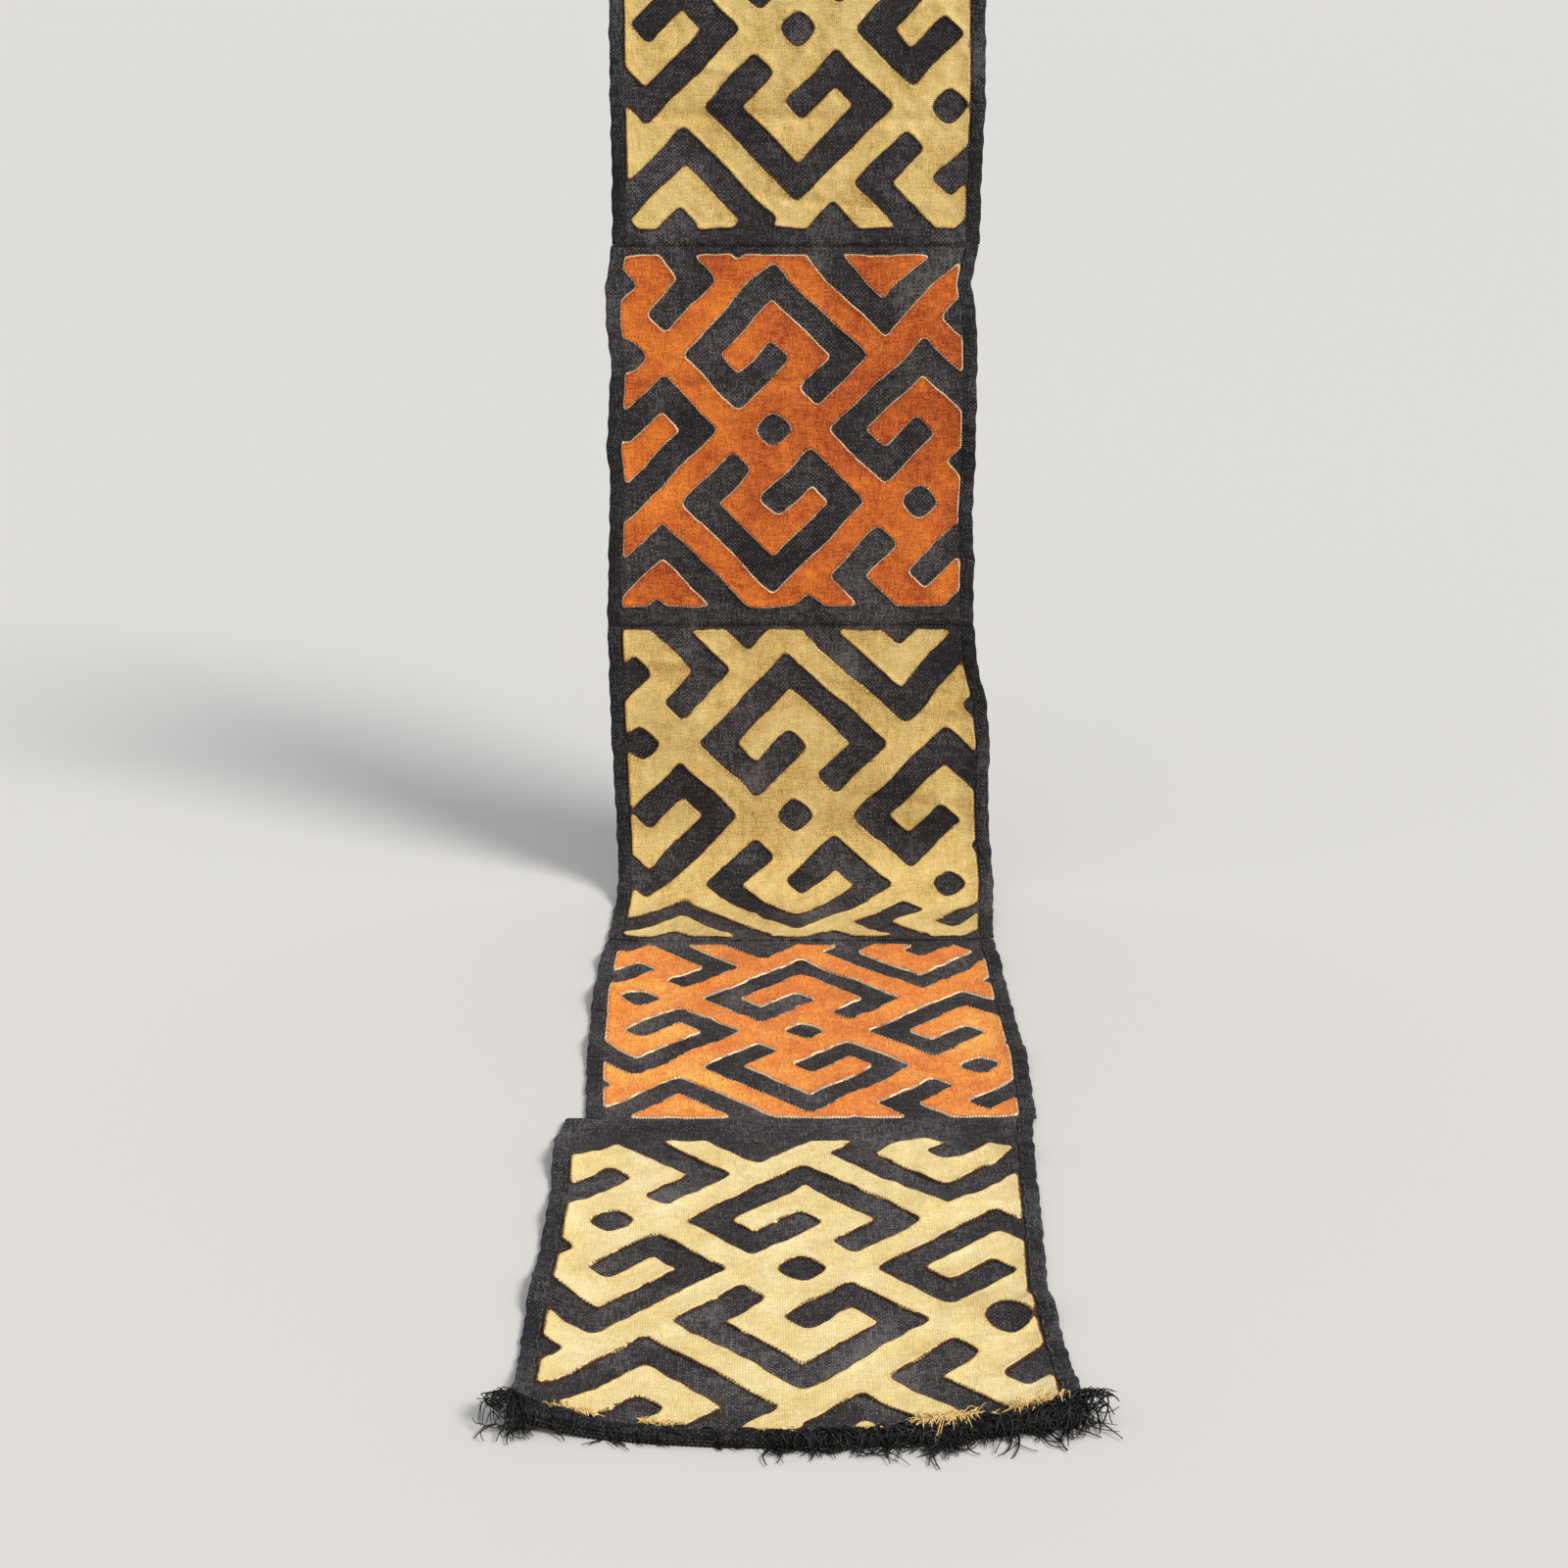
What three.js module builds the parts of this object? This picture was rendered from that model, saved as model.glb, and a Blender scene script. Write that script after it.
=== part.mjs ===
// Kuba raffia cloth: five square cut-work panels sewn end to end into one runner.
// The runner drops from its top edge, leaning a little, bends on the floor and lies on it.
// Millimetres, +Z up. X runs across the cloth, and the lying end points along -Y.
// The origin is under the middle of the last panel, on the floor.
import * as THREE from "three";

// Thicknesses of the layers, and the clearance between two pieces that meet
const GROUND = 1.0;
const OVERLAY = 1.0;
const LEAF = 1.0;
const GAP = 0.3;

// Path of the runner's underside: a leaning drop, a round bend and a flat run on the floor
const TOP_HEIGHT = 927;
const LEAN = THREE.MathUtils.degToRad(5);
const BEND_RADIUS = 70;
const FOOT_Y = 665;

// Side bindings: strips folded round the edge, and how far the cloth rises to clear their lower leaf
const BINDING_WIDTH = 12;
const EDGE_RISE = LEAF + GAP;
const RISE_ENDS = 26;

// Lapped seams: one panel lies over a narrower tongue of the next
const LAP = 8;
const LAP_RAMP = 14;
const TONGUE_INSET = 28;
const LAP_RISE = GROUND + GAP;

// The overlay stops short of the bindings
const OVERLAY_MARGIN = 1;

// The last panel's end: bowed in plan, rising on to the back of the woven band, which is deeper by the
// flare at both corners
const END_BOW = 34;
const BOW_REACH = 160;
const END_RISE = 2;
const END_RAMP = 45;
const BAND_HEIGHT = 8;
const BAND_DEPTH = 10;
const BAND_FLARE = 12;
const BAND_OVERHANG = 2;
const BAND_STEPS = 20;

// Fringe comb: a spine along the band and tapering teeth that droop to the floor where the band lifts
const FRINGE_HEIGHT = 4;
const SPINE_DEPTH = 4;
const TOOTH_COUNT = 34;
const TOOTH_BASE = 0.42;
const TOOTH_TIP = 0.2;
const TUFT_OVERHANG = 4;
const FRINGE_DROOP = 14;

// How finely the sheets are faceted
const MIDDLE_CELLS = 5;
const ROW_CLEARANCE = 6;

// Finishes: dyed raffia cloth in three colours, and raw black raffia
const FINISHES = {
  black: { color: 0x2f3033, roughness: 0.9 },
  yellow: { color: 0xd9b66c, roughness: 0.85 },
  orange: { color: 0xd0702f, roughness: 0.85 },
  raffia: { color: 0x1f1f21, roughness: 0.8 },
};

// One entry per panel, from the top. head and tail are the overlay's margins at the upper and lower end.
// over names the ends that lie on top of a seam, and under those that end in a tongue below a neighbour.
// edges: share of the panel's length, then the left and right outer edge across the runner.
const PANELS = [
  {
    length: 345,
    cloth: "yellow",
    head: 12,
    tail: 14,
    rows: 8,
    over: ["tail"],
    under: [],
    edges: [
      { at: 0, left: -157, right: 168 },
      { at: 0.4, left: -158, right: 169.5 },
      { at: 0.65, left: -158, right: 170.5 },
      { at: 0.8, left: -157, right: 168 },
      { at: 1, left: -157.5, right: 166.5 },
    ],
  },
  {
    length: 340,
    cloth: "orange",
    head: 8,
    tail: 16,
    rows: 11,
    over: ["tail"],
    under: ["head"],
    edges: [
      { at: 0, left: -158, right: 166 },
      { at: 0.1, left: -163.5, right: 159.7 },
      { at: 0.2, left: -164, right: 165 },
      { at: 0.3, left: -159.5, right: 165.8 },
      { at: 0.53, left: -164.5, right: 165.3 },
      { at: 0.62, left: -161.5, right: 164.5 },
      { at: 0.7, left: -162.5, right: 162.7 },
      { at: 0.83, left: -164, right: 165 },
      { at: 1, left: -165.5, right: 164.5 },
    ],
  },
  {
    length: 354,
    cloth: "yellow",
    head: 9,
    tail: 9,
    rows: 15,
    over: ["tail"],
    under: ["head"],
    edges: [
      { at: 0, left: -165.5, right: 165.5 },
      { at: 0.1, left: -164.8, right: 168.6 },
      { at: 0.2, left: -164, right: 177.5 },
      { at: 0.3, left: -163, right: 181 },
      { at: 0.45, left: -160.5, right: 179.8 },
      { at: 0.68, left: -157, right: 184 },
      { at: 0.8, left: -159, right: 180 },
      { at: 1, left: -160.5, right: 174.5 },
    ],
  },
  {
    length: 352,
    cloth: "orange",
    head: 8,
    tail: 10,
    rows: 11,
    over: [],
    under: ["head", "tail"],
    edges: [
      { at: 0, left: -161, right: 174.5 },
      { at: 0.2, left: -165, right: 176 },
      { at: 0.4, left: -165.5, right: 177 },
      { at: 0.72, left: -162.5, right: 179 },
      { at: 1, left: -157, right: 176 },
    ],
  },
  {
    length: 417,
    cloth: "yellow",
    head: 30,
    tail: 5,
    rows: 13,
    over: ["head"],
    under: [],
    edges: [
      { at: 0, left: -171, right: 174 },
      { at: 0.075, left: -177, right: 169.5 },
      { at: 0.33, left: -173.5, right: 164.5 },
      { at: 0.625, left: -176.5, right: 157 },
      { at: 0.69, left: -177, right: 159.5 },
      { at: 0.95, left: -176, right: 163 },
      { at: 1, left: -176, right: 163 },
    ],
  },
];

// Soft folds, as rounded swells that leave the cloth flat elsewhere.
// along: distance from the top edge. across: place across the runner. height: toward the viewer or up.
const FOLDS = [
  { along: 120, across: 60, reachAlong: 105, reachAcross: 120, height: 5 },
  { along: 250, across: -90, reachAlong: 62, reachAcross: 95, height: -4 },
  { along: 445, across: -60, reachAlong: 65, reachAcross: 100, height: 5 },
  { along: 535, across: 100, reachAlong: 80, reachAcross: 95, height: -5 },
  { along: 605, across: -110, reachAlong: 48, reachAcross: 80, height: 4 },
  { along: 765, across: -110, reachAlong: 45, reachAcross: 85, height: 4 },
  { along: 835, across: 125, reachAlong: 62, reachAcross: 100, height: 7 },
  { along: 985, across: 186, reachAlong: 28, reachAcross: 60, height: 5 },
  { along: 1085, across: -172, reachAlong: 26, reachAcross: 55, height: 6 },
  { along: 1165, across: -172, reachAlong: 38, reachAcross: 60, height: 7 },
  { along: 1262, across: -172, reachAlong: 34, reachAcross: 50, height: 5 },
  { along: 1090, across: 184, reachAlong: 28, reachAcross: 50, height: 5 },
  { along: 1285, across: 186, reachAlong: 44, reachAcross: 55, height: 5 },
  { along: 1455, across: -184, reachAlong: 36, reachAcross: 60, height: 8 },
  { along: 1540, across: -182, reachAlong: 32, reachAcross: 55, height: 5 },
  { along: 1640, across: -184, reachAlong: 38, reachAcross: 60, height: 7 },
  { along: 1445, across: 178, reachAlong: 28, reachAcross: 55, height: 6 },
  { along: 1520, across: 95, reachAlong: 26, reachAcross: 80, height: 3 },
  { along: 1668, across: 165, reachAlong: 30, reachAcross: 95, height: 8 },
  { along: 1808, across: -185, reachAlong: 70, reachAcross: 70, height: 6 },
  { along: 1808, across: 172, reachAlong: 60, reachAcross: 60, height: 5 },
];

// Lengths of the fringe's teeth from left to right, repeated along the spine
const TOOTH_LENGTHS = [7, 5, 9, 6, 4, 8, 10, 5, 7, 4, 8];
// The corner tufts splay outward: each tip's distance beyond the spine's end and in front of it
const LEFT_TUFT = [
  { out: 13, front: -14 },
  { out: 5, front: -4 },
  { out: 15, front: 0 },
  { out: 5, front: 3 },
  { out: 9, front: 11 },
];
const RIGHT_TUFT = [
  { out: 8, front: 13 },
  { out: 5, front: 4 },
  { out: 14, front: 3 },
  { out: 5, front: -3 },
  { out: 11, front: -12 },
];

const smooth = (t) => THREE.MathUtils.smoothstep(t, 0, 1);

const bendStartHeight = BEND_RADIUS * (1 - Math.sin(LEAN));
const dropLength = (TOP_HEIGHT - bendStartHeight) / Math.cos(LEAN);
const bendLength = BEND_RADIUS * (Math.PI / 2 - LEAN);
const bendCentreY = FOOT_Y + BEND_RADIUS * Math.tan(LEAN) - BEND_RADIUS / Math.cos(LEAN);

// Point of the underside at distance s from the top edge, and its normal toward the viewer
function pathAt(s) {
  if (s < dropLength) {
    const up = (dropLength - s) * Math.cos(LEAN) + bendStartHeight;
    return { y: FOOT_Y + up * Math.tan(LEAN), z: up, ny: -Math.cos(LEAN), nz: Math.sin(LEAN) };
  }
  if (s < dropLength + bendLength) {
    const turn = -LEAN - (s - dropLength) / BEND_RADIUS;
    const y = bendCentreY + BEND_RADIUS * Math.cos(turn);
    const z = BEND_RADIUS + BEND_RADIUS * Math.sin(turn);
    return { y, z, ny: -Math.cos(turn), nz: -Math.sin(turn) };
  }
  return { y: bendCentreY - (s - dropLength - bendLength), z: 0, ny: 0, nz: 1 };
}

const raisedCosine = (t) => (1 + Math.cos(Math.PI * t)) / 2;

// Height of all folds at a place on the cloth: each is a raised cosine in both directions
function foldHeight(s, x) {
  let sum = 0;
  for (const fold of FOLDS) {
    const a = Math.min(1, Math.abs(s - fold.along) / fold.reachAlong);
    const b = Math.min(1, Math.abs(x - fold.across) / fold.reachAcross);
    sum += fold.height * raisedCosine(a) * raisedCosine(b);
  }
  return sum;
}

// Outer edges of a panel at a share of its length, straight between the table's rows
function edgesAt(panel, share) {
  const at = THREE.MathUtils.clamp(share, 0, 1);
  const next = Math.max(1, panel.edges.findIndex((row) => row.at >= at));
  const a = panel.edges[next - 1];
  const b = panel.edges[next];
  const t = (at - a.at) / (b.at - a.at);
  return {
    left: THREE.MathUtils.lerp(a.left, b.left, t),
    right: THREE.MathUtils.lerp(a.right, b.right, t),
  };
}

// The underside's rise above the path: edges clear the bindings, ends lie over seams and folds swell
function liftAt(panel, s, x) {
  const { left, right } = edgesAt(panel, (s - panel.start) / panel.length);
  const inset = Math.min(x - left, right - x);
  const flatFrom = BINDING_WIDTH + OVERLAY_MARGIN;
  let lift = EDGE_RISE * (1 - smooth((inset - flatFrom) / (RISE_ENDS - flatFrom)));
  if (panel.over.includes("head")) lift += LAP_RISE * smooth((panel.start + LAP + LAP_RAMP - s) / LAP_RAMP);
  if (panel.over.includes("tail")) lift += LAP_RISE * smooth((s - panel.end + LAP + LAP_RAMP) / LAP_RAMP);
  if (panel.isLast) lift += END_RISE * smooth((s - panel.end + END_RAMP) / END_RAMP);
  return lift + foldHeight(s, x);
}

// A place on a panel in space: s along, x across, h above the underside
function place(panel, s, x, h, lift = liftAt(panel, s, x)) {
  let along = s;
  if (panel.isLast) {
    const { left, right } = edgesAt(panel, 1);
    const side = (2 * x - left - right) / (right - left);
    along -= END_BOW * side * side * smooth((s - panel.end + BOW_REACH) / BOW_REACH);
  }
  const p = pathAt(along);
  return [x, p.y + (lift + h) * p.ny, p.z + (lift + h) * p.nz];
}

// Rows of facets along a panel: even steps, plus the places where a layer or a ramp begins
function rowsOf(panel) {
  const marks = [panel.first, panel.first + panel.head, panel.last - panel.tail, panel.last];
  if (panel.over.includes("head")) marks.push(panel.start + LAP, panel.start + LAP + LAP_RAMP);
  if (panel.over.includes("tail")) marks.push(panel.end - LAP, panel.end - LAP - LAP_RAMP);
  const rows = [...marks];
  for (let i = 1; i < panel.rows; i++) {
    const s = THREE.MathUtils.lerp(panel.first, panel.last, i / panel.rows);
    if (marks.every((mark) => Math.abs(mark - s) > ROW_CLEARANCE)) rows.push(s);
  }
  return rows.sort((a, b) => a - b);
}

// Columns of facets across a panel at one row: cloth edge, binding's inner edge, overlay's edge, middle
function columnsAt(panel, s) {
  const { left, right } = edgesAt(panel, (s - panel.start) / panel.length);
  const insets = [LEAF + GAP, BINDING_WIDTH, BINDING_WIDTH + OVERLAY_MARGIN, RISE_ENDS];
  const columns = insets.map((inset) => left + inset);
  for (let i = 1; i < MIDDLE_CELLS; i++) {
    columns.push(THREE.MathUtils.lerp(left + RISE_ENDS, right - RISE_ENDS, i / MIDDLE_CELLS));
  }
  return [...columns, ...insets.reverse().map((inset) => right - inset)];
}

function toGeometry(positions, index) {
  const geometry = new THREE.BufferGeometry();
  geometry.setAttribute("position", new THREE.Float32BufferAttribute(positions, 3));
  geometry.setIndex(index);
  geometry.computeVertexNormals();
  return geometry;
}

// A sheet between a lower and an upper grid of points. Rows run along the cloth, columns across it.
// Both faces split each cell along the same diagonal, so that stacked sheets stay parallel.
function sheet(lower, upper) {
  const rows = lower.length;
  const across = lower[0].length;
  const low = (i, j) => i * across + j;
  const high = (i, j) => low(i, j) + rows * across;
  const index = [];
  const wall = (i, j, k, l) => {
    index.push(low(i, j), low(k, l), high(i, j), low(k, l), high(k, l), high(i, j));
  };
  for (let i = 0; i + 1 < rows; i++) {
    for (let j = 0; j + 1 < across; j++) {
      index.push(high(i, j), high(i + 1, j), high(i, j + 1));
      index.push(high(i, j + 1), high(i + 1, j), high(i + 1, j + 1));
      index.push(low(i, j), low(i, j + 1), low(i + 1, j));
      index.push(low(i, j + 1), low(i + 1, j + 1), low(i + 1, j));
    }
    wall(i, 0, i + 1, 0);
    wall(i + 1, across - 1, i, across - 1);
  }
  for (let j = 0; j + 1 < across; j++) {
    wall(0, j + 1, 0, j);
    wall(rows - 1, j, rows - 1, j + 1);
  }
  return toGeometry([...lower, ...upper].flat(2), index);
}

// A strip from rings of points, each joined to the next. Point k of a ring lies opposite point
// size - 1 - k, so that bands of quads between such pairs close both ends. Cells split along the same
// diagonal as a sheet's, and a mirrored strip has its rings listed the other way round.
function strip(rings, mirrored) {
  const size = rings[0].length;
  const lastRing = (rings.length - 1) * size;
  const index = [];
  const triangle = (a, b, c) => index.push(a, mirrored ? c : b, mirrored ? b : c);
  rings.slice(0, -1).forEach((ring, i) => {
    ring.forEach((point, j) => {
      const k = (j + 1) % size;
      const [a, b] = [i * size + j, i * size + k];
      const [c, d] = [a + size, b + size];
      if (ring[k][0] > point[0]) {
        triangle(a, b, c);
        triangle(b, d, c);
      } else {
        triangle(a, b, d);
        triangle(a, d, c);
      }
    });
  });
  for (let k = 0; k + 1 < size / 2; k++) {
    const near = [k, k + 1, size - 2 - k, size - 1 - k];
    const far = near.map((n) => n + lastRing);
    triangle(near[0], near[3], near[1]);
    triangle(near[1], near[3], near[2]);
    triangle(far[0], far[1], far[3]);
    triangle(far[1], far[2], far[3]);
  }
  return toGeometry(rings.flat(2), index);
}

function addMesh(group, name, geometry, finish) {
  const mesh = new THREE.Mesh(geometry, new THREE.MeshStandardMaterial({ ...finish, metalness: 0 }));
  mesh.name = name;
  group.add(mesh);
}

// Ground cloth: the whole panel up to its bindings, with a narrow tongue under each lapped neighbour
function groundGeometry(panel) {
  const grid = rowsOf(panel).map((s) => ({ s, columns: columnsAt(panel, s) }));
  const tongue = (s) => {
    const { left, right } = edgesAt(panel, (s - panel.start) / panel.length);
    const columns = columnsAt(panel, s);
    const share = (right - left - 2 * TONGUE_INSET) / (columns.at(-1) - columns[0]);
    const middle = (left + right) / 2;
    return { s, columns: columns.map((x) => middle + (x - middle) * share) };
  };
  if (panel.under.includes("head")) grid.unshift(tongue(panel.start - LAP), tongue(panel.start));
  if (panel.under.includes("tail")) grid.push(tongue(panel.end), tongue(panel.end + LAP));
  const layer = (h) => grid.map((row) => row.columns.map((x) => place(panel, row.s, x, h)));
  return sheet(layer(0), layer(GROUND));
}

// Overlay: the coloured cloth on the ground, between the bindings and short of both ends
function overlayGeometry(panel) {
  const from = panel.first + panel.head;
  const to = panel.last - panel.tail;
  const rows = rowsOf(panel).filter((s) => s >= from && s <= to);
  const base = GROUND + GAP;
  const layer = (h) => rows.map((s) => columnsAt(panel, s).slice(2, -2).map((x) => place(panel, s, x, h)));
  return sheet(layer(base), layer(base + OVERLAY));
}

// Binding: a strip folded round the side, one leaf above the ground cloth and one below it.
// The outline runs round the outside from the upper leaf to the lower one, then back along the inside.
function bindingGeometry(panel, side) {
  const top = GROUND + GAP;
  const outline = [
    { inset: BINDING_WIDTH, h: top + LEAF },
    { inset: 0, h: top + LEAF },
    { inset: 0, h: -LEAF - GAP },
    { inset: BINDING_WIDTH, h: -LEAF - GAP },
    { inset: BINDING_WIDTH, h: -GAP },
    { inset: LEAF, h: -GAP },
    { inset: LEAF, h: top },
    { inset: BINDING_WIDTH, h: top },
  ];
  const rings = rowsOf(panel).map((s) => {
    const { left, right } = edgesAt(panel, (s - panel.start) / panel.length);
    const across = (inset) => (side === "left" ? left + inset : right - inset);
    const outerLift = liftAt(panel, s, across(LEAF + GAP));
    const innerLift = liftAt(panel, s, across(BINDING_WIDTH));
    return outline.map(({ inset, h }) => {
      const t = Math.max(0, (inset - LEAF - GAP) / (BINDING_WIDTH - LEAF - GAP));
      return place(panel, s, across(inset), h, THREE.MathUtils.lerp(outerLift, innerLift, t));
    });
  });
  return strip(rings, side === "right");
}

// Front line of a strip laid along the last panel's end, at a distance in front of that end
function endLine(panel, x, front) {
  const { left, right } = edgesAt(panel, 1);
  const y = place(panel, panel.end, THREE.MathUtils.clamp(x, left, right), 0)[1];
  return y - front;
}

// Depth of the end band from back to front, greater toward the corners by the square of the distance
function bandDepth(panel, x) {
  const { left, right } = edgesAt(panel, 1);
  const side = THREE.MathUtils.clamp((2 * x - left - right) / (right - left), -1, 1);
  return BAND_DEPTH + BAND_FLARE * side * side;
}

// Woven end band: a rounded ribbed strip as thick as several layers, lying in front of the last panel.
// The section's upper points run from back to front, and its lower points return under the band.
function bandGeometry(panel) {
  const section = [
    { depth: 0, height: 0.6 },
    { depth: 0.25, height: 0.95 },
    { depth: 0.6, height: 1 },
    { depth: 0.9, height: 0.75 },
    { depth: 1, height: 0.35 },
    { depth: 0.92, height: 0 },
    { depth: 0.7, height: 0 },
    { depth: 0.45, height: 0 },
    { depth: 0.2, height: 0 },
    { depth: 0, height: 0 },
  ];
  const { left, right } = edgesAt(panel, 1);
  const rings = [];
  for (let i = 0; i <= BAND_STEPS; i++) {
    const x = THREE.MathUtils.lerp(left - BAND_OVERHANG, right + BAND_OVERHANG, i / BAND_STEPS);
    const swell = foldHeight(panel.end, x);
    const ring = section.map(({ depth, height }) => {
      return [x, endLine(panel, x, GAP + depth * bandDepth(panel, x)), swell + height * BAND_HEIGHT];
    });
    rings.push(ring);
  }
  return strip(rings, false);
}

// Fringe: one comb of tapering teeth on a spine along the band, with tufts splayed at both corners
function fringeGeometry(panel) {
  const edges = edgesAt(panel, 1);
  const left = edges.left - BAND_OVERHANG - TUFT_OVERHANG;
  const right = edges.right + BAND_OVERHANG + TUFT_OVERHANG;
  const pitch = (right - left) / TOOTH_COUNT;
  const outline = [];
  for (let i = TOOTH_COUNT; i >= 0; i -= 2) outline.push({ x: left + i * pitch, front: 0 });
  LEFT_TUFT.forEach(({ out, front }) => outline.push({ x: left - out, front }));
  for (let i = 0; i < TOOTH_COUNT; i++) {
    const middle = left + (i + 0.5) * pitch;
    const length = TOOTH_LENGTHS[i % TOOTH_LENGTHS.length];
    outline.push({ x: middle - pitch * TOOTH_BASE, front: SPINE_DEPTH });
    outline.push({ x: middle - pitch * TOOTH_TIP, front: SPINE_DEPTH + length });
    outline.push({ x: middle + pitch * TOOTH_TIP, front: SPINE_DEPTH + length });
    outline.push({ x: middle + pitch * TOOTH_BASE, front: SPINE_DEPTH });
  }
  RIGHT_TUFT.forEach(({ out, front }) => outline.push({ x: right + out, front }));
  const spineAt = (x, front) => endLine(panel, x, 2 * GAP + bandDepth(panel, x) + front);
  const points = outline.map(({ x, front }) => new THREE.Vector2(x, spineAt(x, front)));
  const shape = new THREE.Shape(points);
  const geometry = new THREE.ExtrudeGeometry(shape, { depth: FRINGE_HEIGHT, bevelEnabled: false });
  const position = geometry.getAttribute("position");
  for (let i = 0; i < position.count; i++) {
    const x = position.getX(i);
    const reach = Math.abs(spineAt(x, 0) - position.getY(i));
    const swell = foldHeight(panel.end, x) * (1 - smooth(reach / FRINGE_DROOP));
    position.setZ(i, position.getZ(i) + swell);
  }
  return geometry;
}

let along = 0;
const panels = PANELS.map((row, i) => {
  const panel = { ...row, start: along, end: along + row.length, isLast: i === PANELS.length - 1 };
  panel.first = panel.start + (row.under.includes("head") ? GAP : 0);
  panel.last = panel.end - (row.under.includes("tail") ? GAP : 0);
  along = panel.end;
  return panel;
});

const cloth = new THREE.Group();
panels.forEach((panel, i) => {
  const number = i + 1;
  addMesh(cloth, `ground_${number}`, groundGeometry(panel), FINISHES.black);
  addMesh(cloth, `overlay_${number}`, overlayGeometry(panel), FINISHES[panel.cloth]);
  for (const side of ["left", "right"]) {
    addMesh(cloth, `binding_${side}_${number}`, bindingGeometry(panel, side), FINISHES.black);
  }
});
const lastPanel = panels.at(-1);
addMesh(cloth, "end_band", bandGeometry(lastPanel), FINISHES.black);
addMesh(cloth, "fringe", fringeGeometry(lastPanel), FINISHES.raffia);

export default cloth;
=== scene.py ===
import math
from collections import namedtuple

import bpy
import mathutils
import numpy as np
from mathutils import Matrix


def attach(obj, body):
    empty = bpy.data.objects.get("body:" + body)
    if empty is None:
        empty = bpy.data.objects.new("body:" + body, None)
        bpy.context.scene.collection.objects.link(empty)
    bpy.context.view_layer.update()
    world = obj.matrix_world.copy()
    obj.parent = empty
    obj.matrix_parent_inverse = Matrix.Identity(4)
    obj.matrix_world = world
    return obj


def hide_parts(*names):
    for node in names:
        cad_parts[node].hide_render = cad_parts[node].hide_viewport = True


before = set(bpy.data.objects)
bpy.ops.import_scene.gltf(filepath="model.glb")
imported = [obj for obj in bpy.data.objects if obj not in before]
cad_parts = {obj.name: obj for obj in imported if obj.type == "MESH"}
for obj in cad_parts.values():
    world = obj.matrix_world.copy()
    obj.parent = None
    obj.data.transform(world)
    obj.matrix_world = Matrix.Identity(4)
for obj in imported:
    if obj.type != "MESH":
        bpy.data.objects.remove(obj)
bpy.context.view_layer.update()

# Ground cloths
# Five near-square pieces of black raffia, plain woven from split palm leaf and dyed. They are lapped
# end to end, hang from the top edge, turn on the floor and lie out on it with soft swells and creases.

MM = 0.001  # all sizes below are millimetres, as the frame was drawn

# Side view of the runner: a leaning drop, a round bend and the floor
TOP_HEIGHT = 927.0
LEAN = math.radians(5)
BEND_RADIUS = 70.0
FOOT_Y = 665.0
BEND_TOP = BEND_RADIUS * (1 - math.sin(LEAN))
DROP = (TOP_HEIGHT - BEND_TOP) / math.cos(LEAN)
BEND = BEND_RADIUS * (math.pi / 2 - LEAN)
BEND_Y = FOOT_Y + BEND_RADIUS * math.tan(LEAN) - BEND_RADIUS / math.cos(LEAN)

# Layers, side bindings and lapped seams
GROUND_THICKNESS = 1.0
GAP = 0.3
LEAF = 1.0
BINDING_WIDTH = 12.0
OVERLAY_MARGIN = 1.0
EDGE_RISE = LEAF + GAP
RISE_ENDS = 26.0
LAP = 8.0
LAP_RAMP = 14.0
LAP_RISE = GROUND_THICKNESS + GAP
TONGUE_INSET = 14.0

# The last end: bowed in plan and rising on to the back of the woven band
END_BOW = 34.0
BOW_REACH = 160.0
END_RISE = 2.0
END_RAMP = 45.0

NOMINAL_WIDTH = 330.0
GROUND_CELL = 4.0

Panel = namedtuple("Panel", "number cloth start end held over under edges")


def panel_row(number, cloth, start, length, held, over, under, edges):
    """One panel: edges are rows of share of the length, left edge and right edge across the runner."""
    return Panel(number, cloth, start, start + length, held, over, under, np.array(edges, float))


PANELS = [
    panel_row(1, "yellow", 0, 345, "hung", ["tail"], [], [
        (0, -157, 168), (0.4, -158, 169.5), (0.65, -158, 170.5), (0.8, -157, 168), (1, -157.5, 166.5)]),
    panel_row(2, "orange", 345, 340, "hung", ["tail"], ["head"], [
        (0, -158, 166), (0.1, -163.5, 159.7), (0.2, -164, 165), (0.3, -159.5, 165.8), (0.53, -164.5, 165.3),
        (0.62, -161.5, 164.5), (0.7, -162.5, 162.7), (0.83, -164, 165), (1, -165.5, 164.5)]),
    panel_row(3, "yellow", 685, 354, "draped", ["tail"], ["head"], [
        (0, -165.5, 165.5), (0.1, -164.8, 168.6), (0.2, -164, 177.5), (0.3, -163, 181),
        (0.45, -160.5, 179.8), (0.68, -157, 184), (0.8, -159, 180), (1, -160.5, 174.5)]),
    panel_row(4, "orange", 1039, 352, "laid", [], ["head", "tail"], [
        (0, -161, 174.5), (0.2, -165, 176), (0.4, -165.5, 177), (0.72, -162.5, 179), (1, -157, 176)]),
    panel_row(5, "yellow", 1391, 417, "laid", ["head"], [], [
        (0, -171, 174), (0.075, -177, 169.5), (0.33, -173.5, 164.5), (0.625, -176.5, 157),
        (0.69, -177, 159.5), (0.95, -176, 163), (1, -176, 163)]),
]
LAST = PANELS[-1]

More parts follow.
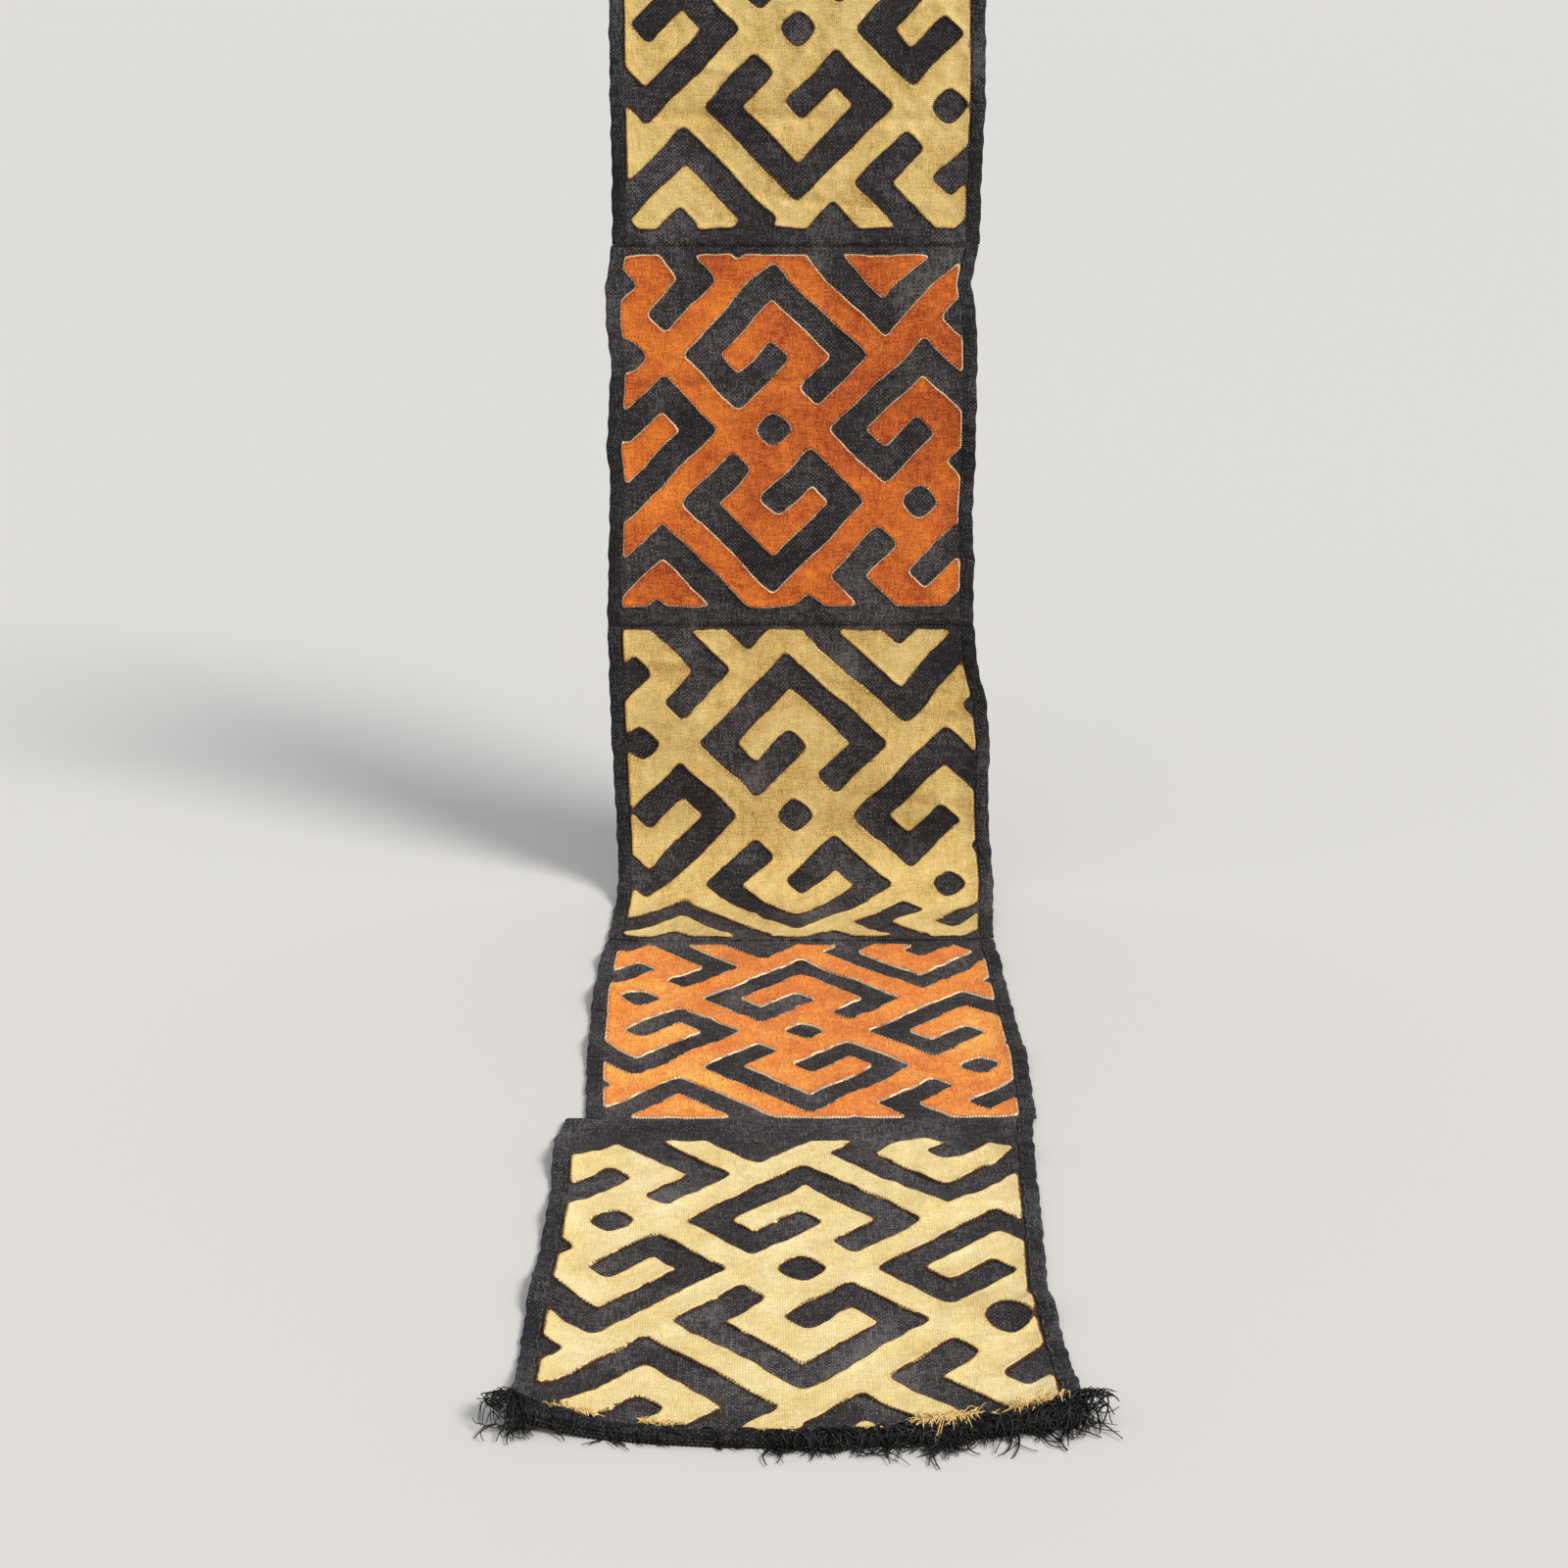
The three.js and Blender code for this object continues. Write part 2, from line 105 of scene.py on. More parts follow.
# Soft folds: place along and across, reach along and across, height toward the viewer or up
FOLDS = np.array([
    (120, 60, 105, 120, 5), (250, -90, 62, 95, -4), (445, -60, 65, 100, 5), (535, 100, 80, 95, -5),
    (605, -110, 48, 80, 4), (765, -110, 45, 85, 4), (835, 125, 62, 100, 7), (985, 186, 28, 60, 5),
    (1085, -172, 26, 55, 6), (1165, -172, 38, 60, 7), (1262, -172, 34, 50, 5), (1090, 184, 28, 50, 5),
    (1285, 186, 44, 55, 5), (1455, -184, 36, 60, 8), (1540, -182, 32, 55, 5), (1640, -184, 38, 60, 7),
    (1445, 178, 28, 55, 6), (1520, 95, 26, 80, 3), (1668, 165, 30, 95, 8), (1808, -185, 70, 70, 6),
    (1808, 172, 60, 60, 5)], float)

# Creases: both ends as along and across, half-width, and depth, which is below zero for a trough
CREASES = np.array([
    (60, -140, 75, 150, 5, -1.9), (232, -150, 238, 155, 5, -2.1), (150, 20, 300, -35, 6, 1.9),
    (300, -40, 322, 150, 4, -1.9), (180, -130, 200, -30, 4, 1.6), (470, -150, 462, 150, 5, -1.9),
    (470, 17, 556, 15, 3, 1.9), (520, -8, 600, -2, 3, 1.4), (640, -140, 628, 120, 5, -1.9),
    (715, -150, 728, -40, 5, 2.1), (720, 10, 770, 150, 7, 1.2), (835, 20, 858, 170, 6, -1.1),
    (900, -150, 905, 160, 6, -1.8), (1120, -150, 1135, 160, 5, 0.9), (1210, -140, 1200, 165, 4, 0.9),
    (1150, 5, 1290, 0, 3, 0.8), (1500, -120, 1495, 150, 5, 0.9), (1526, 60, 1524, 160, 3, 0.8),
    (1600, -60, 1690, 40, 6, 0.9), (1430, -20, 1520, -60, 5, 0.8)], float)


def smooth(t):
    """Ease from 0 to 1: three t squared less two t cubed, with t held between 0 and 1."""
    t = np.clip(t, 0, 1)
    return t * t * (3 - 2 * t)


def run(along):
    """Side view at a distance from the top edge: y and z of the underside, and the normal's y and z.
    A straight line at the lean, then an arc tangent to it, then a line on the floor."""
    up = (DROP - along) * math.cos(LEAN) + BEND_TOP
    turn = -LEAN - (along - DROP) / BEND_RADIUS
    stages = [along < DROP, along < DROP + BEND]
    y = np.select(stages, [FOOT_Y + up * math.tan(LEAN), BEND_Y + BEND_RADIUS * np.cos(turn)],
                  BEND_Y - (along - DROP - BEND))
    z = np.select(stages, [up, BEND_RADIUS * (1 + np.sin(turn))], 0)
    normal_y = np.select(stages, [np.full_like(up, -math.cos(LEAN)), -np.cos(turn)], 0)
    normal_z = np.select(stages, [np.full_like(up, math.sin(LEAN)), -np.sin(turn)], 1)
    return y, z, normal_y, normal_z


def side_edges(panel, along):
    """Left and right outer edge at a distance along: straight between the rows of the panel's table."""
    share = (along - panel.start) / (panel.end - panel.start)
    at, left, right = panel.edges.T
    return np.interp(share, at, left), np.interp(share, at, right)


def folds(along, across):
    """Height of all folds: each is its height times a raised cosine along and a raised cosine across."""
    a = np.minimum(1, np.abs(along[..., None] - FOLDS[:, 0]) / FOLDS[:, 2])
    b = np.minimum(1, np.abs(across[..., None] - FOLDS[:, 1]) / FOLDS[:, 3])
    return (FOLDS[:, 4] * (1 + np.cos(np.pi * a)) * (1 + np.cos(np.pi * b)) / 4).sum(-1)


def creases(along, across):
    """Height of all creases: the depth falls off as a bell curve of the distance from the crease's
    line, and fades to nothing at the line's two ends."""
    a0, x0, a1, x1, width, depth = CREASES.T
    length = np.hypot(a1 - a0, x1 - x0)
    da, dx = (a1 - a0) / length, (x1 - x0) / length
    along, across = along[..., None] - a0, across[..., None] - x0
    t = along * da + across * dx
    off = along * dx - across * da
    fade = smooth(t / (0.2 * length)) * smooth((length - t) / (0.2 * length))
    return (depth * np.exp(-(off / width) ** 2) * fade).sum(-1)


def bow(along, across):
    """How far the last panel's end is drawn back: the square of the distance from the middle, eased in."""
    left, right = LAST.edges[-1, 1:]
    side = (2 * across - left - right) / (right - left)
    return END_BOW * side ** 2 * smooth((along - LAST.end + BOW_REACH) / BOW_REACH)


def lay(panel, along, across, height):
    """Points in space from a distance along, a place across and a height above the underside.
    The underside rises over the bindings, the laps and the end band, and swells with folds and creases."""
    left, right = side_edges(panel, along)
    inset = np.minimum(across - left, right - across)
    flat_from = BINDING_WIDTH + OVERLAY_MARGIN
    rise = EDGE_RISE * (1 - smooth((inset - flat_from) / (RISE_ENDS - flat_from)))
    if "head" in panel.over:
        rise = rise + LAP_RISE * smooth((panel.start + LAP + LAP_RAMP - along) / LAP_RAMP)
    if "tail" in panel.over:
        rise = rise + LAP_RISE * smooth((along - panel.end + LAP + LAP_RAMP) / LAP_RAMP)
    laid = along
    if panel is LAST:
        rise = rise + END_RISE * smooth((along - panel.end + END_RAMP) / END_RAMP)
        laid = along - bow(along, across)
    up = rise + folds(along, across) + creases(along, across) + height
    y, z, normal_y, normal_z = run(laid)
    return np.stack([across + 0 * up, y + up * normal_y, z + up * normal_z], -1)


def grid_faces(rows, columns):
    """Four-cornered faces of a grid of points, row after row, facing where rows turn to columns."""
    index = np.arange(rows * columns).reshape(rows, columns)
    return np.stack([index[:-1, :-1], index[1:, :-1], index[1:, 1:], index[:-1, 1:]], -1).reshape(-1, 4)


def make_piece(name, points, faces, flat_place=None, **values):
    """Mesh from arrays: points in millimetres, faces as rows of corners, each point's place on the flat
    cloth as the UV map in metres, and any other value by point as an attribute of its name."""
    mesh = bpy.data.meshes.new(name)
    mesh.vertices.add(len(points))
    mesh.vertices.foreach_set("co", (points * MM).astype(np.float32).ravel())
    mesh.loops.add(faces.size)
    mesh.loops.foreach_set("vertex_index", faces.astype(np.int32).ravel())
    mesh.polygons.add(len(faces))
    mesh.polygons.foreach_set("loop_start", np.arange(len(faces), dtype=np.int32) * faces.shape[1])
    mesh.update(calc_edges=True)
    if flat_place is not None:
        uv = mesh.uv_layers.new(name="flat_place")
        uv.data.foreach_set("uv", (flat_place * MM)[faces.ravel()].astype(np.float32).ravel())
    for key, value in values.items():
        mesh.attributes.new(key, "FLOAT", "POINT").data.foreach_set("value", value.astype(np.float32))
    mesh.validate()
    mesh.shade_smooth()
    piece = bpy.data.objects.new(name, mesh)
    bpy.context.scene.collection.objects.link(piece)
    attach(piece, "root")
    return piece


def add_node(tree, kind, inputs=(), **settings):
    """Adds a shader node with its settings and fills inputs by name or number, with values or links."""
    node = tree.nodes.new(kind)
    for key, value in settings.items():
        setattr(node, key, value)
    for key, value in dict(inputs).items():
        if isinstance(value, bpy.types.NodeSocket):
            tree.links.new(value, node.inputs[key])
        else:
            node.inputs[key].default_value = value
    return node


def maths(tree, operation, *values):
    """One Math node on values or links."""
    return add_node(tree, "ShaderNodeMath", enumerate(values), operation=operation).outputs[0]


def noise(tree, place, scale, detail=2.0):
    """Cloudy value from 0 to 1 about 0.5, at a scale in repeats to the metre each way of the cloth."""
    stretched = add_node(tree, "ShaderNodeMapping", {"Vector": place, "Scale": scale})
    made = add_node(tree, "ShaderNodeTexNoise",
                    {"Vector": stretched.outputs[0], "Scale": 1.0, "Detail": detail})
    return made.outputs["Fac"]


def ramp(tree, fac, *stops):
    """Colour ramp through stops of position and colour."""
    node = add_node(tree, "ShaderNodeValToRGB", {"Fac": fac})
    elements = node.color_ramp.elements
    for _ in stops[2:]:
        elements.new(0.5)
    for element, (position, colour) in zip(elements, stops):
        element.position = position
        element.color = (*colour, 1)
    return node.outputs["Color"]


def blend_colours(tree, fac, first, second, blend_type="MIX"):
    """Mixes two colours by a value or link."""
    node = add_node(tree, "ShaderNodeMix", {0: fac, 6: first, 7: second},
                    data_type="RGBA", blend_type=blend_type)
    return node.outputs[2]


def make_raffia_weave():
    """Node group: plain weave of raffia strips. Height is the rounding of both sets of strips plus the
    over and under at each crossing; Strip is the tone of the strip on top, which changes every few
    crossings; Streak is longer fibre tone, mostly along the runner."""
    group = bpy.data.node_groups.new("raffia_weave", "ShaderNodeTree")
    group.interface.new_socket("Place", in_out="INPUT", socket_type="NodeSocketVector")
    group.interface.new_socket("Strips per metre", in_out="INPUT", socket_type="NodeSocketFloat")
    for output in ("Height", "Strip", "Streak"):
        group.interface.new_socket(output, in_out="OUTPUT", socket_type="NodeSocketFloat")
    source = group.nodes.new("NodeGroupInput")
    place, strips = source.outputs[0], source.outputs[1]
    wavy = add_node(group, "ShaderNodeTexNoise", {"Vector": place, "Scale": 45.0, "Detail": 1.0})
    shift = add_node(group, "ShaderNodeVectorMath",
                     {0: wavy.outputs["Color"], "Scale": 0.0016}, operation="SCALE")
    drawn = add_node(group, "ShaderNodeVectorMath", {0: place, 1: shift.outputs[0]}, operation="ADD")
    counted = add_node(group, "ShaderNodeVectorMath",
                       {0: drawn.outputs[0], "Scale": strips}, operation="SCALE")
    split = add_node(group, "ShaderNodeSeparateXYZ", {0: counted.outputs[0]})
    waves = [maths(group, "SINE", maths(group, "MULTIPLY", split.outputs[i], math.pi)) for i in (0, 1)]
    crossing = maths(group, "MULTIPLY", *waves)
    rounding = maths(group, "ADD", *[maths(group, "ABSOLUTE", wave) for wave in waves])
    height = maths(group, "MULTIPLY_ADD", crossing, 0.6, rounding)
    tones = []
    for across_strip, along_strip in ((0, 1), (1, 0)):
        number = maths(group, "FLOOR", split.outputs[across_strip])
        run_on = maths(group, "MULTIPLY", split.outputs[along_strip], 0.3)
        slid = maths(group, "MULTIPLY_ADD", number, 0.37, run_on)
        length = add_node(group, "ShaderNodeCombineXYZ",
                          {0: number, 1: maths(group, "FLOOR", slid), 2: across_strip})
        tone = add_node(group, "ShaderNodeTexWhiteNoise", {"Vector": length.outputs[0]})
        tones.append(tone.outputs["Value"])
    on_top = maths(group, "GREATER_THAN", crossing, 0.0)
    strip = add_node(group, "ShaderNodeMix", {0: on_top, 2: tones[0], 3: tones[1]})
    streaks = maths(group, "MULTIPLY_ADD", noise(group, place, (640, 110, 1)), 1.3, maths(
        group, "MULTIPLY", noise(group, place, (140, 560, 1)), 0.7))
    result = group.nodes.new("NodeGroupOutput")
    group.links.new(height, result.inputs["Height"])
    group.links.new(strip.outputs[0], result.inputs["Strip"])
    group.links.new(maths(group, "MULTIPLY", streaks, 0.5), result.inputs["Streak"])
    return group


RAFFIA_WEAVE = make_raffia_weave()


def start_raffia(name, strips):
    """New material with the weave placed on the piece's flat place; returns it with its tree and parts."""
    material = bpy.data.materials.new(name)
    material.use_nodes = True
    tree = material.node_tree
    place = add_node(tree, "ShaderNodeUVMap", uv_map="flat_place").outputs[0]
    weave = add_node(tree, "ShaderNodeGroup", node_tree=RAFFIA_WEAVE)
    tree.links.new(place, weave.inputs["Place"])
    weave.inputs["Strips per metre"].default_value = strips
    return material, tree, place, weave.outputs


def finish_raffia(tree, colour, roughness, height, bump_strength, bump_distance, sheen):
    """Feeds colour, roughness and bump to the material's own shader."""
    shader = tree.nodes["Principled BSDF"]
    bump = add_node(tree, "ShaderNodeBump",
                    {"Strength": bump_strength, "Distance": bump_distance, "Height": height})
    tree.links.new(colour, shader.inputs["Base Color"])
    tree.links.new(roughness, shader.inputs["Roughness"])
    tree.links.new(bump.outputs[0], shader.inputs["Normal"])
    shader.inputs["Specular IOR Level"].default_value = 0.18
    shader.inputs["Sheen Weight"].default_value = sheen
    shader.inputs["Sheen Roughness"].default_value = 0.5


BLACK_STRIPS_PER_METRE = 560.0


def make_black_raffia(name, darkest, middle, palest, brown):
    """Black-dyed raffia: strip and streak tone pick a charcoal, rubbed patches show grey streaks along the
    runner, some strips keep a brown cast, and the raised tops of the weave's crossings are painted lighter
    as a painted highlight."""
    material, tree, place, weave = start_raffia(name, BLACK_STRIPS_PER_METRE)
    patches = noise(tree, place, (9, 9, 1), 4.0)
    tone = maths(tree, "MULTIPLY_ADD", weave["Strip"], 0.4, maths(tree, "MULTIPLY", weave["Streak"], 0.7))
    tone = maths(tree, "ADD", tone, maths(tree, "MULTIPLY_ADD", patches, 0.9, -0.78))
    worn = maths(tree, "SUBTRACT", noise(tree, place, (13, 8, 1)), 0.53)
    worn = add_node(tree, "ShaderNodeClamp", {"Value": maths(tree, "MULTIPLY", worn, 5.0)}).outputs[0]
    rubbed = maths(tree, "MULTIPLY", worn, noise(tree, place, (620, 45, 1)))
    tone = maths(tree, "MULTIPLY_ADD", rubbed, 0.6, tone)
    # Painted highlight: the weave's height lifts the tone, so the raised tops of the crossings are lighter
    # where light would catch them.
    tone = maths(tree, "MULTIPLY_ADD", weave["Height"], 0.2, tone)
    colour = ramp(tree, tone, (0.15, darkest), (0.5, middle), (0.95, palest))
    warm = maths(tree, "MULTIPLY", noise(tree, place, (260, 14, 1)), 0.55)
    colour = blend_colours(tree, warm, colour, (*brown, 1), "MULTIPLY")
    roughness = maths(tree, "MULTIPLY_ADD", weave["Strip"], 0.15, 0.7)
    crumple = maths(tree, "MULTIPLY_ADD", noise(tree, place, (60, 90, 1), 3.0), 4.0, weave["Height"])
    finish_raffia(tree, colour, roughness, crumple, 0.6, 0.0003, 0.03)
    return material


ground_material = make_black_raffia(
    "black_ground_cloth", (0.006, 0.0052, 0.0056), (0.027, 0.0232, 0.0238), (0.15, 0.14, 0.142),
    (0.88, 0.78, 0.7))

for panel in PANELS:
    rows = round((panel.end - panel.start) / GROUND_CELL)
    columns = round(NOMINAL_WIDTH / GROUND_CELL)
    along = np.linspace(panel.start, panel.end, rows)
    inset = np.full(rows, LEAF + GAP)
    if "head" in panel.under:
        along = np.concatenate([[panel.start - LAP, panel.start - GAP], along])
        inset = np.concatenate([[TONGUE_INSET, TONGUE_INSET], inset])
    if "tail" in panel.under:
        along = np.concatenate([along, [panel.end + GAP, panel.end + LAP]])
        inset = np.concatenate([inset, [TONGUE_INSET, TONGUE_INSET]])
    left, right = side_edges(panel, along)
    shares = np.linspace(0, 1, columns)
    across = (left + inset)[:, None] + (right - left - 2 * inset)[:, None] * shares
    along = along[:, None] + 0 * across
    points = lay(panel, along, across, GROUND_THICKNESS).reshape(-1, 3)
    flat_place = np.stack([across, along], -1).reshape(-1, 2)
    ground = make_piece(f"ground_cloth_{panel.number}", points, grid_faces(*across.shape), flat_place)
    ground.data.materials.append(ground_material)
    body = ground.modifiers.new("thickness", "SOLIDIFY")
    body.thickness = GROUND_THICKNESS * MM
    body.offset = -1
    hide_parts(f"ground_{panel.number}")

# Cut-work overlays
# A second cloth of yellow or orange raffia on each ground. Bands are cut out of it, so that the black
# shows as hooked and coiled lines; each cut edge is turned under, which leaves it rounded and proud.

OVERLAY_INSET = 13.0
CORNER_ROUNDING = 4.2
TIP_REACH = 6.0
OVERLAY_CELL = 2.2
END_MARGIN = 3.0
COLOURED_STRIPS_PER_METRE = 600.0
SNAP = 0.12

# Height of the overlay above the ground's underside by distance from its cut edge
RIM_DISTANCE = [0.0, 0.6, 1.6, 5.0]
RIM_HEIGHT = [0.8, 2.15, 2.75, 2.0]
RIM_RINGS = (0.6, 1.6)

# One repeat of the pattern, in units across and along from the dot at its middle: a square coil below the
# dot, and the same coil given a half turn above it. The two steps carry the repeat over the whole cloth.
COIL = np.array([(-1, 1), (-2, 2), (0, 4), (2, 2), (1, 1), (0, 2)], float)
REPEAT_STEPS = np.array([(4, 2), (-3, 7)], float)
REPEATS_EACH_WAY = 3
COIL_REACH = 5.0
DOT_HALF = 15.0
DOT_POWER = 1.4  # 1 for a diamond and 2 for a round

# Each panel's repeat: its middle dot in percent across and along, its unit and the half-width of its bands.
# head and tail: the overlay's upper and lower edge in percent of the length.
Chart = namedtuple("Chart", "middle unit half_width head tail")
CHARTS = [
    Chart((50, 46), 33.0, 11.5, 3.5, 96.0),
    Chart((45, 48), 33.0, 11.5, 2.5, 95.0),
    Chart((48, 50), 34.0, 11.5, 1.0, 99.0),
    Chart((50, 55), 33.0, 11.0, 3.5, 99.0),
    Chart((52, 53), 33.0, 11.0, 8.5, 120.0),
]


def repeat_dots(chart, width, length):
    """Middles of the repeats that reach on to a panel, in millimetres from its upper left corner: the
    panel's own middle plus whole numbers of the two steps."""
    count = np.arange(-REPEATS_EACH_WAY, REPEATS_EACH_WAY + 1)
    steps = np.stack(np.meshgrid(count, count), -1).reshape(-1, 2) @ REPEAT_STEPS
    middles = np.array(chart.middle) / 100 * (width, length) + chart.unit * steps
    reach = COIL_REACH * chart.unit
    near = (middles > -reach) & (middles < np.array([width, length]) + reach)
    return middles[near.all(1)]


def wander(along, across, size, seed):
    """Uneven field over the cloth, about -1 to 1: five sine waves of about the given length, each in a
    seeded direction."""
    rng = np.random.default_rng(seed)
    angle = rng.uniform(0, np.pi, 5)
    wave = 2 * np.pi / (size * rng.uniform(0.7, 1.4, 5))
    phase = rng.uniform(0, 2 * np.pi, 5)
    ways = along[..., None] * np.cos(angle) + across[..., None] * np.sin(angle)
    return np.sin(ways * wave + phase).sum(-1) / math.sqrt(5)


def cut_distance(place, half_width, line):
    """Distance outside a cut band. Each leg of its middle line is a box of the band's width that reaches
    past a turn by half the width times the tangent of half the turn, and a little past a free end;
    the corners are rounded by drawing the boxes smaller and the distance in."""
    half = half_width - CORNER_ROUNDING
    legs = np.diff(line, axis=0)
    lengths = np.hypot(legs[:, 0], legs[:, 1])
    ways = legs / lengths[:, None]
    cosines = np.clip((ways[:-1] * ways[1:]).sum(1), -1, 1)
    tip = [TIP_REACH - CORNER_ROUNDING]
    reach = np.concatenate([tip, half * np.tan(np.arccos(cosines) / 2), tip])
    nearest = np.full(place.shape[:-1], np.inf)
    for corner, way, length, before, after in zip(line, ways, lengths, reach, reach[1:]):
        offset = place - corner
        over = np.abs(offset @ way - (length + after - before) / 2) - (length + after + before) / 2
        beside = np.abs(offset @ np.array([-way[1], way[0]])) - half
        outside = np.hypot(np.maximum(over, 0), np.maximum(beside, 0))
        outside = outside + np.minimum(np.maximum(over, beside), 0)
        nearest = np.minimum(nearest, outside - CORNER_ROUNDING)
    return nearest


def dot_distance(place, middle, half_size, power):
    """Distance outside a dot, near enough: the power mean of the place over the half sizes, less one."""
    share = np.abs(place - middle) / half_size
    return ((share ** power).sum(-1) ** (1 / power) - 1) * half_size.min()


def soften(values):
    """Each grid value mixed with its neighbours, a half its own and a quarter from each side, both ways."""
    for axis in (0, 1):
        padded = np.pad(values, [(1, 1) if i == axis else (0, 0) for i in (0, 1)], mode="edge")
        count = values.shape[axis]
        before, after = (np.take(padded, np.arange(count) + step, axis) for step in (0, 2))
        values = values / 2 + (before + after) / 4
    return values


def split_at(level, places, distance, triangles):
    """Splits triangles where the distance crosses a level. A cut triangle gives one triangle on the side of
    its lone corner and two on the other; new corners are shared by neighbours. Returns places, distances,
    the triangles above and below, and the pairs of new corners that follow the level line."""
    distance = np.where(np.abs(distance - level) < SNAP, level + SNAP, distance)
    above = distance[triangles] > level
    count = above.sum(1)
    cut = (count == 1) | (count == 2)
    lone_is_above = count[cut] == 1
    lone = np.where(lone_is_above, above[cut].argmax(1), (~above[cut]).argmax(1))
    a, b, c = np.take_along_axis(triangles[cut], (lone[:, None] + np.arange(3)) % 3, 1).T
    ends = np.sort(np.stack([np.concatenate([a, a]), np.concatenate([b, c])], 1), 1)
    ends, which = np.unique(ends, axis=0, return_inverse=True)
    first, second = ends.T
    share = (level - distance[first]) / (distance[second] - distance[first])
    fresh = places[first] + (places[second] - places[first]) * share[:, None]
    p, q = which.reshape(2, -1) + len(places)
    tip = np.stack([a, p, q], 1)
    rest = np.stack([np.stack([p, b, c], 1), np.stack([p, c, q], 1)], 1)
    higher = [triangles[count == 3], tip[lone_is_above], rest[~lone_is_above].reshape(-1, 3)]
    lower = [triangles[count == 0], tip[~lone_is_above], rest[lone_is_above].reshape(-1, 3)]
    places = np.concatenate([places, fresh])
    distance = np.concatenate([distance, np.full(len(fresh), float(level))])
    return places, distance, np.concatenate(higher), np.concatenate(lower), np.stack([p, q], 1)


def overlay_distance(panel, chart, along, across):
    """Distance inside the overlay: the least of the distances to its outer edges and to every cut, on
    places moved a little by an uneven field, as a hand cuts."""
    left, right = side_edges(panel, along)
    width = (panel.edges[:, 2] - panel.edges[:, 1]).mean()
    length = panel.end - panel.start
    share = 100 * (across - left) / (right - left)
    laid = along - (bow(along, across) if panel is LAST else 0)
    place = np.stack([share * width / 100, laid - panel.start], -1)
    seed = 10 * panel.number
    sway = [0.9 * wander(along, across, 60, seed + way) + 0.25 * wander(along, across, 14, seed + 5 + way)
            for way in (0, 1)]
    swayed = place + np.stack(sway, -1)
    inside = [across - left - OVERLAY_INSET, right - across - OVERLAY_INSET,
              swayed[..., 1] - chart.head * length / 100, chart.tail * length / 100 - swayed[..., 1],
              panel.end - END_MARGIN - along]
    for dot in repeat_dots(chart, width, length):
        inside.append(dot_distance(swayed, dot, np.full(2, DOT_HALF), DOT_POWER))
        for half_turn in (1, -1):
            inside.append(cut_distance(swayed, chart.half_width, dot + half_turn * chart.unit * COIL))
    return np.minimum.reduce(inside)


def make_coloured_raffia(name, deep, middle, pale, palest, rim_colour, rim_width, stain, grain):
    """Yellow or orange raffia: strip and streak tone over the listed changes of tone pick the colour, a
    stain of dirt darkens the cloth near each cut edge, and a line of sewing thread colours the turned edge.
    On the
    yellow cloth that line is near black: partly the rust thread and partly painted shade along the raised
    edge."""
    material, tree, place, weave = start_raffia(name, COLOURED_STRIPS_PER_METRE)
    fading = add_node(tree, "ShaderNodeAttribute", attribute_name="fading").outputs["Fac"]
    edge = add_node(tree, "ShaderNodeAttribute", attribute_name="edge").outputs["Fac"]
    patches = noise(tree, place, (24, 20, 1), 5.0)
    streak = maths(tree, "MULTIPLY", weave["Streak"], 0.55)
    tone = maths(tree, "MULTIPLY_ADD", weave["Strip"], grain, streak)
    tone = maths(tree, "ADD", tone, maths(tree, "MULTIPLY_ADD", patches, 0.75, -0.41))
    tone = maths(tree, "ADD", tone, fading)
    close = maths(tree, "MULTIPLY_ADD", edge, -0.3, 1.0)
    close = add_node(tree, "ShaderNodeClamp", {"Value": close}).outputs[0]
    stained = maths(tree, "MULTIPLY", close, noise(tree, place, (45, 45, 1), 4.0))
    tone = maths(tree, "MULTIPLY_ADD", stained, -stain, tone)
    colour = ramp(tree, tone, (0.05, deep), (0.35, middle), (0.65, pale), (0.95, palest))
    broken = maths(tree, "MULTIPLY_ADD", noise(tree, place, (240, 240, 1)), 0.7, -0.35)
    gone = add_node(tree, "ShaderNodeClamp", {"Value": maths(
        tree, "MULTIPLY_ADD", noise(tree, place, (38, 38, 1), 3.0), -7.0, 3.1)}).outputs[0]
    # Rim line of sewing thread along the turned edge; where its colour is near black, on the yellow cloth,
    # it is partly the rust thread and partly painted shade along the raised edge.
    near = maths(tree, "SUBTRACT", rim_width, maths(tree, "ADD", edge, maths(tree, "ADD", broken, gone)))
    rim = add_node(tree, "ShaderNodeClamp", {"Value": maths(tree, "MULTIPLY", near, 3.5)}).outputs[0]
    colour = blend_colours(tree, rim, colour, (*rim_colour, 1))
    roughness = maths(tree, "MULTIPLY_ADD", weave["Strip"], 0.15, 0.7)
    crumple = maths(tree, "MULTIPLY_ADD", noise(tree, place, (70, 110, 1), 3.0), 6.0, weave["Height"])
    finish_raffia(tree, colour, roughness, crumple, 0.6, 0.0003, 0.1)
    return material


OVERLAY_MATERIALS = {
    # The yellow's near-black rim colour is the rust thread darkened as painted shade along the raised edge;
    # the orange's cream rim is the thread's own colour.
    "yellow": make_coloured_raffia(
        "yellow_overlay_cloth", (0.40, 0.22, 0.05), (0.64, 0.44, 0.14), (0.76, 0.59, 0.25),
        (0.86, 0.74, 0.42), (0.05, 0.019, 0.009), 0.85, 0.28, 0.3),
    "orange": make_coloured_raffia(
        "orange_overlay_cloth", (0.30, 0.04, 0.008), (0.55, 0.125, 0.018), (0.79, 0.22, 0.026),
        (0.86, 0.46, 0.085), (0.9, 0.72, 0.44), 0.78, 0.45, 0.36),
}
